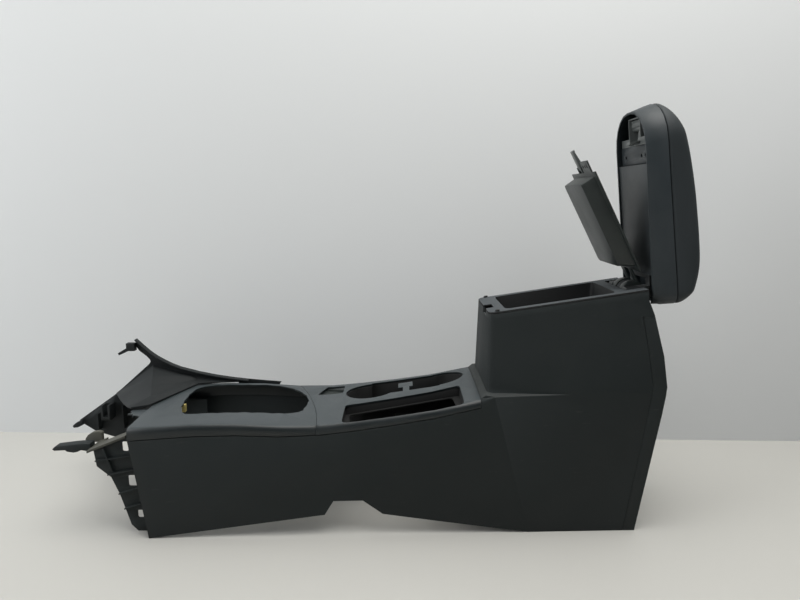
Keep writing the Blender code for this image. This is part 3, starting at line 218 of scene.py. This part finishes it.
def mix_colours(
    tree: bpy.types.NodeTree,
    under: Colour | bpy.types.NodeSocket,
    over: Colour,
    share: bpy.types.NodeSocket,
) -> bpy.types.NodeSocket:
    """Lay one colour over another.

    Args:
        tree: The node tree.
        under: The colour below.
        over: The colour above.
        share: How much of the upper colour shows.

    Returns:
        The mixed colour's socket.
    """
    sockets = {MIX_SHARE: share, MIX_UNDER: under, MIX_OVER: over}
    return add_node(tree, "ShaderNodeMix", sockets, data_type="RGBA").outputs[MIX_RESULT]


def real_size(tree: bpy.types.NodeTree, size_mm: float, stretch: Point) -> bpy.types.NodeSocket:
    """Object coordinates scaled so that one unit is a real length.

    Args:
        tree: The node tree.
        size_mm: That length in millimetres.
        stretch: How much longer the unit is along each axis.

    Returns:
        The vector socket for a texture.
    """
    coordinates = add_node(tree, "ShaderNodeTexCoord")
    per_metre = 1000.0 / size_mm
    scale = tuple(per_metre / length for length in stretch)
    place = {"Vector": coordinates.outputs["Object"], "Scale": scale}
    return add_node(tree, "ShaderNodeMapping", place).outputs["Vector"]


def clouds(
    tree: bpy.types.NodeTree,
    size_mm: float,
    detail: float,
    roughness: float = 0.5,
    stretch: Point = EVEN,
) -> bpy.types.NodeSocket:
    """Soft noise of a real size.

    Args:
        tree: The node tree.
        size_mm: The size of a cloud in millimetres.
        detail: How many finer layers there are.
        roughness: How strong the finer layers are.
        stretch: How far the clouds are drawn out along each axis.

    Returns:
        A socket with values round 0.5.
    """
    vector = real_size(tree, size_mm, stretch)
    look = {"Vector": vector, "Scale": 1.0, "Detail": detail, "Roughness": roughness}
    return add_node(tree, "ShaderNodeTexNoise", look).outputs["Fac"]


def map_range(
    tree: bpy.types.NodeTree,
    value: bpy.types.NodeSocket,
    source: tuple[float, float],
    target: tuple[float, float],
) -> bpy.types.NodeSocket:
    """Turn one range of values into another and hold it at its ends.

    Args:
        tree: The node tree.
        value: The value to turn.
        source: The range that it comes in.
        target: The range that it leaves in.

    Returns:
        The result's socket.
    """
    ends = {
        "Value": value,
        "From Min": source[0],
        "From Max": source[1],
        "To Min": target[0],
        "To Max": target[1],
    }
    return add_node(tree, "ShaderNodeMapRange", ends).outputs["Result"]


@dataclass(frozen=True)
class MouldedFinish:
    """A plastic or rubber surface: mould grain, a little dust, faint rub marks and, where asked, a
    painted sheen on faces that look up.

    Attributes:
        name: The material's name.
        colour: The clean surface's sRGB colour.
        roughness: The clean surface's roughness.
        grain: The mould's grain.
        dust: How strong the patches of dust are.
        dust_and_sheen_colour: The sRGB colour of dust and rub marks, and of the painted sheen on
            faces that look up.
        scuffs: How strong the rub marks are.
        grain_depth_mm: How deep the grain is.
        top_dust_and_sheen: How strong the dust and the painted sheen are on faces that look up.
        ior: The index of refraction.
    """

    name: str
    colour: str
    roughness: float
    grain: Grain
    dust: float
    dust_and_sheen_colour: str
    scuffs: float
    grain_depth_mm: float = 0.0
    top_dust_and_sheen: float = 0.0
    ior: float = PLASTIC_IOR

    def build(self) -> bpy.types.Material:
        """Make the material.

        Returns:
            The finished material.
        """
        material, shader = new_material(self.name)
        tree = material.node_tree
        dust_and_sheen_colour = linear(self.dust_and_sheen_colour)
        patches = self._patches(tree)
        marks = self._marks(tree)
        surface = mix_colours(tree, linear(self.colour), dust_and_sheen_colour, patches)
        surface = mix_colours(tree, surface, dust_and_sheen_colour, marks)
        # Faces that look up get dust and a painted sheen, a lighter colour that stands in for the
        # light falling on them from above
        if self.top_dust_and_sheen:
            surface = mix_colours(tree, surface, dust_and_sheen_colour, self._top_dust_and_sheen(tree))
        tree.links.new(surface, shader.inputs["Base Color"])
        dusty = min(self.roughness + DUSTY_ROUGHNESS, 1.0)
        dust_range = (0.0, max(self.dust, LEAST_DUST))
        worn = map_range(tree, patches, dust_range, (self.roughness, dusty))
        tree.links.new(worn, shader.inputs["Roughness"])
        shader.inputs["IOR"].default_value = self.ior
        if self.grain is not Grain.SMOOTH:
            tree.links.new(self._grain_normal(tree), shader.inputs["Normal"])
        return material

    def _patches(self, tree: bpy.types.NodeTree) -> bpy.types.NodeSocket:
        """Soft patches of dust.

        Args:
            tree: The node tree.

        Returns:
            A socket from 0 to the dust's strength.
        """
        cloud = clouds(tree, PATCH_MM, detail=5.0, roughness=0.62)
        return map_range(tree, cloud, PATCH_RANGE, (0.0, self.dust))

    def _marks(self, tree: bpy.types.NodeTree) -> bpy.types.NodeSocket:
        """Sparse rub marks that run along the surface.

        Args:
            tree: The node tree.

        Returns:
            A socket from 0 to the marks' strength.
        """
        streak = clouds(tree, MARK_MM, detail=3.0, roughness=0.7, stretch=MARK_STRETCH)
        return map_range(tree, streak, MARK_RANGE, (0.0, self.scuffs))

    def _top_dust_and_sheen(self, tree: bpy.types.NodeTree) -> bpy.types.NodeSocket:
        """Fine dust and a painted sheen on the faces that look up, a lighter colour that stands in
        for the light from above.

        Args:
            tree: The node tree.

        Returns:
            A socket from 0 on upright faces to its full strength on level ones.
        """
        normal = add_node(tree, "ShaderNodeNewGeometry").outputs["Normal"]
        upward = add_node(tree, "ShaderNodeSeparateXYZ", {"Vector": normal}).outputs["Z"]
        return map_range(tree, upward, LEVEL_RANGE, (0.0, self.top_dust_and_sheen))

    def _grain_normal(self, tree: bpy.types.NodeTree) -> bpy.types.NodeSocket:
        """The mould's grain as a bump.

        Args:
            tree: The node tree.

        Returns:
            The normal socket.
        """
        vector = real_size(tree, self.grain.value, EVEN)
        cells = add_node(tree, "ShaderNodeTexVoronoi", {"Vector": vector, "Scale": 1.0})
        relief = {
            "Height": cells.outputs["Distance"],
            "Strength": GRAIN_STRENGTH,
            "Distance": self.grain_depth_mm / 1000.0,
        }
        return add_node(tree, "ShaderNodeBump", relief).outputs["Normal"]


@dataclass(frozen=True)
class MetalFinish:
    """A steel surface with a plated or blackened skin.

    Attributes:
        name: The material's name.
        colour: The metal's sRGB colour.
        roughness: Its roughness.
    """

    name: str
    colour: str
    roughness: float

    def build(self) -> bpy.types.Material:
        """Make the material.

        Returns:
            The finished material.
        """
        material, shader = new_material(self.name)
        tree = material.node_tree
        cloud = clouds(tree, METAL_CLOUD_MM, detail=4.0)
        ends = (self.roughness - METAL_SMOOTHER, self.roughness + METAL_ROUGHER)
        tree.links.new(map_range(tree, cloud, (0.0, 1.0), ends), shader.inputs["Roughness"])
        shader.inputs["Base Color"].default_value = linear(self.colour)
        shader.inputs["Metallic"].default_value = 1.0
        return material


class Finishes:
    """Every finish of the console, built once."""

    def __init__(self) -> None:
        # Carriers: grained polypropylene, near black with a cool tint, dusty from storage.
        self.side = MouldedFinish(
            "grained_polypropylene", "061213", 0.66, Grain.COARSE,
            dust=0.035, dust_and_sheen_colour="7b7d7b", scuffs=0.07, grain_depth_mm=0.06,
        ).build()
        # Body: the same plastic, with dust and a painted sheen that make it paler where it looks
        # up, on its shelf and along the ledge beside the box.
        self.body = MouldedFinish(
            "grained_polypropylene_sheen_on_top", "061213", 0.66, Grain.COARSE,
            dust=0.035, dust_and_sheen_colour="7b7d7b", scuffs=0.07, grain_depth_mm=0.06, top_dust_and_sheen=0.11,
        ).build()
        # Far cover: the same plastic, a darker copy of the body's finish with less dust and no
        # painted sheen, as painted shade for its steep face.
        self.wing = MouldedFinish(
            "grained_polypropylene_wing_shaded", "0a1113", 0.70, Grain.COARSE,
            dust=0.015, dust_and_sheen_colour="838a8c", scuffs=0.05, grain_depth_mm=0.06,
        ).build()
        # Bin: the same plastic, darkened nearly to black as painted shade inside the box, with dust
        # and a painted sheen along its rim, where it looks up.
        self.bin = MouldedFinish(
            "grained_polypropylene_bin_shaded", "030506", 0.72, Grain.COARSE,
            dust=0.01, dust_and_sheen_colour="8a949a", scuffs=0.03, grain_depth_mm=0.06, top_dust_and_sheen=0.19,
        ).build()
        # Deck: grained ABS, dark grey, with dust and a painted sheen that make it pale blue-grey
        # where it looks up.
        self.deck = MouldedFinish(
            "grained_abs_deck", "161d1f", 0.42, Grain.FINE,
            dust=0.03, dust_and_sheen_colour="8a9499", scuffs=0.05, grain_depth_mm=0.04, top_dust_and_sheen=0.15,
        ).build()
        # Inside the openings: plain moulded plastic, almost black and dull.
        self.inner = MouldedFinish(
            "plain_black_plastic", "030404", 0.80, Grain.FINE,
            dust=0.03, dust_and_sheen_colour="55575a", scuffs=0.04, grain_depth_mm=0.03,
        ).build()
        # Armrest shell: charcoal ABS with a fine grain.
        self.armrest = MouldedFinish(
            "fine_grained_abs", "242c30", 0.50, Grain.FINE,
            dust=0.05, dust_and_sheen_colour="85888a", scuffs=0.06, grain_depth_mm=0.04,
        ).build()
        # Armrest liner: smooth grey panel with a satin sheen.
        self.liner = MouldedFinish(
            "smooth_satin_abs", "2a3033", 0.42, Grain.SMOOTH,
            dust=0.05, dust_and_sheen_colour="8d9092", scuffs=0.08,
        ).build()
        # Tray: warmer grey ABS with a fine grain and a little gloss.
        self.tray = MouldedFinish(
            "grained_grey_abs", "1e2524", 0.36, Grain.FINE,
            dust=0.06, dust_and_sheen_colour="8f918c", scuffs=0.05, grain_depth_mm=0.04,
        ).build()
        # Latch levers: smooth mid-grey acetal.
        self.latch = MouldedFinish(
            "acetal_latch_plastic", "5b5f5e", 0.38, Grain.SMOOTH,
            dust=0.04, dust_and_sheen_colour="8d9092", scuffs=0.04,
        ).build()
        # Front brace: unpainted recycled plastic, beige-grey and dusty.
        self.brace = MouldedFinish(
            "raw_beige_plastic", "46463f", 0.62, Grain.FINE,
            dust=0.14, dust_and_sheen_colour="9b9789", scuffs=0.16, grain_depth_mm=0.03,
        ).build()
        # Armrest cover: soft imitation leather, dark and matt with a close hide grain.
        self.cover = MouldedFinish(
            "imitation_leather_cover", "22292c", 0.64, Grain.HIDE,
            dust=0.04, dust_and_sheen_colour="70757a", scuffs=0.03, grain_depth_mm=0.10, ior=COVER_IOR,
        ).build()
        # Buffers: dull black rubber.
        self.rubber = MouldedFinish(
            "moulded_rubber", "141414", 0.75, Grain.SMOOTH,
            dust=0.06, dust_and_sheen_colour="606060", scuffs=0.0, ior=RUBBER_IOR,
        ).build()
        # Hinge parts: phosphated steel, dark and faintly glossy.
        self.dark_steel = MetalFinish("phosphated_steel", "565859", 0.55).build()
        # Screws and pins: zinc plate, pale grey.
        self.zinc = MetalFinish("zinc_plated_steel", "b9bcbe", 0.36).build()
        # Spring clips: zinc with a yellow passivation, a dull straw colour.
        self.yellow_zinc = MetalFinish("yellow_zinc_spring_steel", "e0d08a", 0.58).build()


def round_edges(node: bpy.types.Object, width: float) -> None:
    """Round the sharp edges of a CAD node with modifiers, and shade it smooth between them.

    Args:
        node: The CAD node.
        width: The rounding's width.
    """
    node.data.shade_smooth()
    weld = node.modifiers.new("weld", "WELD")
    weld.merge_threshold = SAME_POINT
    bevel = node.modifiers.new("rounding", "BEVEL")
    bevel.width = width
    bevel.segments = 2
    bevel.limit_method = "ANGLE"
    bevel.angle_limit = math.radians(SHARP_EDGE)
    bevel.harden_normals = True


@dataclass
class Assembly:
    """A group of CAD nodes that are finished together.

    Attributes:
        finishes: The console's finishes.
    """

    finishes: Finishes

    def finish(self, names: tuple[str, ...], material: bpy.types.Material, edge: Edge) -> None:
        """Give CAD nodes their material and rounded edges.

        Args:
            names: The nodes' names.
            material: Their material.
            edge: How widely their edges are rounded.
        """
        for name in names:
            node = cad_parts[name]
            node.data.materials.clear()
            node.data.materials.append(material)
            round_edges(node, edge.value)
            LOG.info("%s: %s", name, material.name)


@dataclass
class Body(Assembly):
    """The console's sides, box, front wing, carriers and brace."""

    def dress(self) -> None:
        """Finish the body's nodes."""
        carriers = ("front_carrier_left", "front_carrier_right", "front_locator")
        self.finish(("main_body", "rear_cover"), self.finishes.body, Edge.PANEL)
        self.finish(("side_cover_right",), self.finishes.wing, Edge.PANEL)
        self.finish(carriers, self.finishes.side, Edge.FITTING)
        self.finish(("storage_bin",), self.finishes.bin, Edge.FITTING)
        self.finish(("front_brace",), self.finishes.brace, Edge.TRIM)
        self.finish(("bump_stop_left", "bump_stop_right"), self.finishes.rubber, Edge.FITTING)


@dataclass
class Deck(Assembly):
    """The two deck panels and what is set into them."""

    def dress(self) -> None:
        """Finish the deck's nodes."""
        wells = ("cup_holder_insert", "handbrake_slot_frame")
        clips = ("opening_clip_front", "opening_clip_rear")
        self.finish(("front_deck", "mid_deck"), self.finishes.deck, Edge.SHELL)
        self.finish(wells, self.finishes.inner, Edge.FITTING)
        self.finish(("switch_blank",), self.finishes.tray, Edge.FITTING)
        self.finish(clips, self.finishes.yellow_zinc, Edge.FITTING)


@dataclass
class Hinge(Assembly):
    """The lids' common hinge."""

    def dress(self) -> None:
        """Finish the hinge's nodes."""
        steel = ("hinge_bracket", "hinge_pin", "hinge_spring", "armrest_hinge_leaf")
        screws = tuple(f"bracket_screw_{i}" for i in range(1, 5))
        self.finish(steel, self.finishes.dark_steel, Edge.LEVER)
        self.finish(screws, self.finishes.zinc, Edge.LEVER)


@dataclass
class Tray(Assembly):
    """The inner tray lid and its latch."""

    def dress(self) -> None:
        """Finish the tray's nodes."""
        self.finish(("tray",), self.finishes.tray, Edge.TRIM)
        self.finish(("tray_latch",), self.finishes.latch, Edge.LEVER)
        self.finish(("tray_latch_pin",), self.finishes.zinc, Edge.PIN)


@dataclass
class Armrest(Assembly):
    """The armrest lid and its padded top, drawn as it lies when it is closed.

    A point of the cushion is (s, y, height): s runs from the hinge axis towards the nose, y to
    the side, and the height is above the axis.

    Attributes:
        start: Where the armrest starts, behind the axis.
        end: Where its nose ends.
        half: Half of its width.
        nose_radius: Radius of the corners at the nose.
        heel_radius: Radius of the corners at the hinge.
        seam_rear: Height of the seam at the start.
        seam_nose: Height of the seam at the nose.
        gap: Height of the groove between the shell and the cushion.
    """

    start: float = -0.018
    end: float = 0.289
    half: float = 0.070
    nose_radius: float = 0.055
    heel_radius: float = 0.022
    seam_rear: float = 0.0495
    seam_nose: float = 0.043
    gap: float = 0.0004

    def dress(self) -> None:
        """Finish the armrest's nodes and sew its cushion."""
        self.finish(("armrest_shell",), self.finishes.armrest, Edge.SHELL)
        self.finish(("armrest_liner", "latch_cover_plate"), self.finishes.liner, Edge.TRIM)
        self.finish(("latch_housing", "armrest_latch"), self.finishes.latch, Edge.FITTING)
        self.finish(("armrest_latch_pin",), self.finishes.zinc, Edge.PIN)
        self.cushion()

    def seam(self, s: float) -> float:
        """Height of the seam above the axis.

        Args:
            s: Distance from the axis towards the nose.

        Returns:
            The height.
        """
        share = (s - self.start) / (self.end - self.start)
        return self.seam_rear + (self.seam_nose - self.seam_rear) * share

    def top(self, s: float) -> float:
        """Height of the padded top along its middle.

        Args:
            s: Distance from the axis towards the nose.

        Returns:
            The height.
        """
        for (s0, h0), (s1, h1) in zip(TOP_LINE, TOP_LINE[1:]):
            if s <= s1:
                share = max(0.0, (s - s0) / (s1 - s0))
                return h0 + (h1 - h0) * share
        return TOP_LINE[-1][1]

    def outline(self, inset: float) -> list[tuple[float, float]]:
        """Plan outline of the cushion, drawn in by an inset.

        Args:
            inset: How far in.

        Returns:
            Points (s, y) round the cushion.
        """
        middle = (self.start + self.end) / 2
        # Each corner as its s, its side, and the angle at which its curve starts
        corners = (
            (self.start, -1, 180), (self.end, -1, 270), (self.end, 1, 0), (self.start, 1, 90)
        )
        points = []
        for s_corner, side, first in corners:
            full = self.nose_radius if s_corner > middle else self.heel_radius
            centre_s = s_corner - math.copysign(full, s_corner - middle)
            centre_y = side * (self.half - full)
            radius = max(full - inset, 0.0)
            over = max(inset - full, 0.0)
            centre_s -= math.copysign(over, s_corner - middle)
            centre_y -= side * over
            for step in range(CORNER_STEPS + 1):
                turn = math.radians(first + 90 * step / CORNER_STEPS)
                points.append(
                    (centre_s + radius * math.cos(turn), centre_y + radius * math.sin(turn))
                )
        return self._with_sides(points)

    def _with_sides(self, corners: list[tuple[float, float]]) -> list[tuple[float, float]]:
        """Add points along the straight sides, so that the cushion can bend there.

        Args:
            corners: The points of the four corners, one corner after the other.

        Returns:
            The whole ring.
        """
        per_corner = CORNER_STEPS + 1
        ring = []
        for index in range(4):
            begin = index * per_corner
            part = corners[begin : begin + per_corner]
            ring += part
            last_s, last_y = part[-1]
            next_s, next_y = corners[(begin + per_corner) % len(corners)]
            steps = LONG_SIDE_STEPS if index in (0, 2) else SHORT_SIDE_STEPS
            for k in range(1, steps):
                t = k / steps
                ring.append((last_s + (next_s - last_s) * t, last_y + (next_y - last_y) * t))
        return ring

    def rings(self) -> list[list[Point]]:
        """Rings of the cushion from under its seam to the middle of its top.

        Returns:
            The points of each ring.
        """
        rings = [
            [(s, y, self.seam(s) + self.gap + lift) for s, y in self.outline(inset)]
            for inset, lift in SEAM_RINGS
        ]
        for inset in TOP_INSETS:
            share = min(inset / ROLL_WIDTH, 1.0)
            rise = (1 - (1 - share) ** ROLL_POWER) ** (1 / ROLL_POWER)
            sink = -EDGE_SINK * (1 - min(inset / EDGE_SINK_WIDTH, 1.0)) ** 2
            ring = []
            for s, y in self.outline(inset):
                low = self.seam(s) + self.gap + SEAM_HEIGHT
                place = Vector((s * WRINKLES_PER_METRE, y * WRINKLES_PER_METRE, WRINKLE_CUT))
                wrinkle = WRINKLE * noise.noise(place)
                height = low + (self.top(s) - low + sink) * rise + wrinkle * share
                ring.append((s, y, height))
            rings.append(ring)
        return rings

    def skin(self) -> bpy.types.Mesh:
        """Cover the cushion's rings with faces.

        Returns:
            The closed mesh, in place.
        """
        mesh = bmesh.new()
        loops = [[mesh.verts.new(point) for point in ring] for ring in self.rings()]
        for low_loop, high_loop in zip(loops, loops[1:]):
            for i in range(len(low_loop)):
                j = (i + 1) % len(low_loop)
                mesh.faces.new((low_loop[i], low_loop[j], high_loop[j], high_loop[i]))
        mesh.faces.new(loops[-1])
        mesh.faces.new(list(reversed(loops[0])))
        bmesh.ops.recalc_face_normals(mesh, faces=mesh.faces)
        data = bpy.data.meshes.new("armrest_cushion")
        mesh.to_mesh(data)
        mesh.free()
        data.transform(self.placement())
        return data

    def cushion(self) -> None:
        """Make the stuffed cover with its rolled edge, its seam and its slight wrinkles."""
        data = self.skin()
        data.materials.append(self.finishes.cover)
        data.shade_smooth()
        cushion = bpy.data.objects.new("armrest_cushion", data)
        bpy.context.scene.collection.objects.link(cushion)
        smooth = cushion.modifiers.new("soft_cover", "SUBSURF")
        smooth.levels = smooth.render_levels = 2
        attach(cushion, "armrest")
        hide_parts("armrest_pad")
        LOG.info("armrest_cushion: %d points", len(data.vertices))

    def placement(self) -> Matrix:
        """Where the armrest stands at rest.

        Returns:
            The matrix from (s, y, height) to the shared frame.
        """
        about = Matrix.Rotation(math.pi, 4, "Z")
        lean = Matrix.Rotation(math.radians(RIM_SLOPE - ARMREST_OPEN), 4, "Y")
        return Matrix.Translation(AXIS) @ (about @ lean)


@dataclass(frozen=True)
class Backdrop:
    """A plain rectangle round the object that can be looked through from behind.

    Attributes:
        name: Its name.
        size: Its two sides.
        at: Its centre.
        tip: How far it is tipped up about X.
        turn: How far it is turned about Z.
        colour: Its sRGB colour, as it is seen.
        bounce_colour: Its sRGB colour for the soft light that it throws on the object.
    """

    name: str
    size: tuple[float, float]
    at: Point
    tip: float
    turn: float
    colour: str
    bounce_colour: str

    def build(self) -> None:
        """Set the rectangle up and paint it."""
        x, y = self.size[0] / 2, self.size[1] / 2
        data = bpy.data.meshes.new(self.name)
        data.from_pydata([(-x, -y, 0), (x, -y, 0), (x, y, 0), (-x, y, 0)], [], [(0, 1, 2, 3)])
        data.materials.append(self._paint())
        plane = bpy.data.objects.new(self.name, data)
        plane.location = self.at
        plane.rotation_euler = (math.radians(self.tip), 0, math.radians(self.turn))
        bpy.context.scene.collection.objects.link(plane)

    def _paint(self) -> bpy.types.Material:
        """Matt paint that shows one colour and throws another on the object.

        Returns:
            The finished material.
        """
        material, shader = new_material(f"{self.name}_paint")
        shader.inputs["Roughness"].default_value = PAINT_ROUGHNESS
        tree = material.node_tree
        # The camera, a reflection and the view through glass all meet the seen colour.
        ray = add_node(tree, "ShaderNodeLightPath").outputs
        indirect = {0: ray["Is Glossy Ray"], 1: ray["Is Transmission Ray"]}
        mirrored = add_node(tree, "ShaderNodeMath", indirect, operation="MAXIMUM").outputs[0]
        direct = {0: ray["Is Camera Ray"], 1: mirrored}
        seen = add_node(tree, "ShaderNodeMath", direct, operation="MAXIMUM").outputs[0]
        paint = mix_colours(tree, linear(self.bounce_colour), linear(self.colour), seen)
        tree.links.new(paint, shader.inputs["Base Color"])
        self._clear_from_behind(tree, shader)
        return material

    def _clear_from_behind(self, tree: bpy.types.NodeTree, shader: bpy.types.Node) -> None:
        """Leave the back of the rectangle clear, so that the object's back can be seen.

        Args:
            tree: The paint's node tree.
            shader: Its painted side.
        """
        sides = {
            0: add_node(tree, "ShaderNodeNewGeometry").outputs["Backfacing"],
            1: shader.outputs["BSDF"],
            2: add_node(tree, "ShaderNodeBsdfTransparent").outputs["BSDF"],
        }
        either = add_node(tree, "ShaderNodeMixShader", sides)
        output = tree.nodes["Material Output"]
        tree.links.new(either.outputs["Shader"], output.inputs["Surface"])


@dataclass(frozen=True)
class Lamp:
    """A large soft light.

    Attributes:
        name: Its name.
        watts: Its power.
        size: Side of its square.
        at: Where it stands.
        aim: What it looks at.
        colour: Its sRGB colour.
    """

    name: str
    watts: float
    size: float
    at: Point
    aim: Point
    colour: str

    def build(self) -> None:
        """Hang the light up and aim it."""
        lamp = bpy.data.lights.new(self.name, "AREA")
        lamp.energy = self.watts
        lamp.size = self.size
        lamp.color = linear(self.colour)[:3]
        stand = bpy.data.objects.new(self.name, lamp)
        stand.location = self.at
        line = Vector(self.aim) - Vector(self.at)
        stand.rotation_euler = line.to_track_quat("-Z", "Y").to_euler()
        bpy.context.scene.collection.objects.link(stand)


BACKDROPS = (
    Backdrop("studio_table", (8.0, 8.0), (0.0, 0.0, -0.0002), 0.0, 0.0, "c0bfba", "84837f"),
    Backdrop("studio_wall", (8.0, 5.0), (0.0, 0.296, 2.4), 90.0, -1.7, "f3f5f5", "f3f5f5"),
)

LAMPS = (
    Lamp("window_light", 31.0, 1.8, (-2.2, -0.65, 1.15), (0.0, 0.0, 0.3), "fbfdff"),
    Lamp("room_light", 2.0, 3.0, (1.6, -1.8, 1.6), (0.1, 0.0, 0.3), "f2f6ff"),
    Lamp("ceiling_light", 52.0, 2.0, (0.45, -0.12, 2.4), (0.25, 0.05, 0.0), "fffdf8"),
    Lamp("wall_light", 11.5, 1.4, (0.6, -0.75, 2.1), (0.55, 0.3, 0.45), "ffffff"),
)


class Studio:
    """Pale table and wall, soft light and the camera."""

    def build(self) -> None:
        """Set up everything round the object."""
        for item in BACKDROPS + LAMPS:
            item.build()
            LOG.info("%s: set up", item.name)
        self._room()
        self._camera()

    def _room(self) -> None:
        """Fill the room with a faint even light."""
        world = bpy.data.worlds.new("room")
        world.use_nodes = True
        background = world.node_tree.nodes["Background"]
        background.inputs["Color"].default_value = linear(ROOM_COLOUR)
        background.inputs["Strength"].default_value = ROOM_STRENGTH
        bpy.context.scene.world = world

    def _camera(self) -> None:
        """Stand the camera where the photograph was taken from."""
        data = bpy.data.cameras.new("photo_camera")
        data.lens = CAMERA_LENS_MM
        data.sensor_width = CAMERA_SENSOR_MM
        data.clip_start = CAMERA_NEAREST
        camera = bpy.data.objects.new("photo_camera", data)
        camera.location = CAMERA_AT
        camera.rotation_euler = (math.radians(CAMERA_PITCH), 0, 0)
        bpy.context.scene.collection.objects.link(camera)
        bpy.context.scene.camera = camera
        bpy.context.scene.view_settings.view_transform = "Standard"


def main() -> None:
    """Dress the console and set up the studio."""
    logging.basicConfig(level=logging.INFO, format="%(message)s")
    finishes = Finishes()
    for assembly in (Body, Deck, Hinge, Tray, Armrest):
        assembly(finishes).dress()
    Studio().build()


if __name__ == "__main__":
    main()
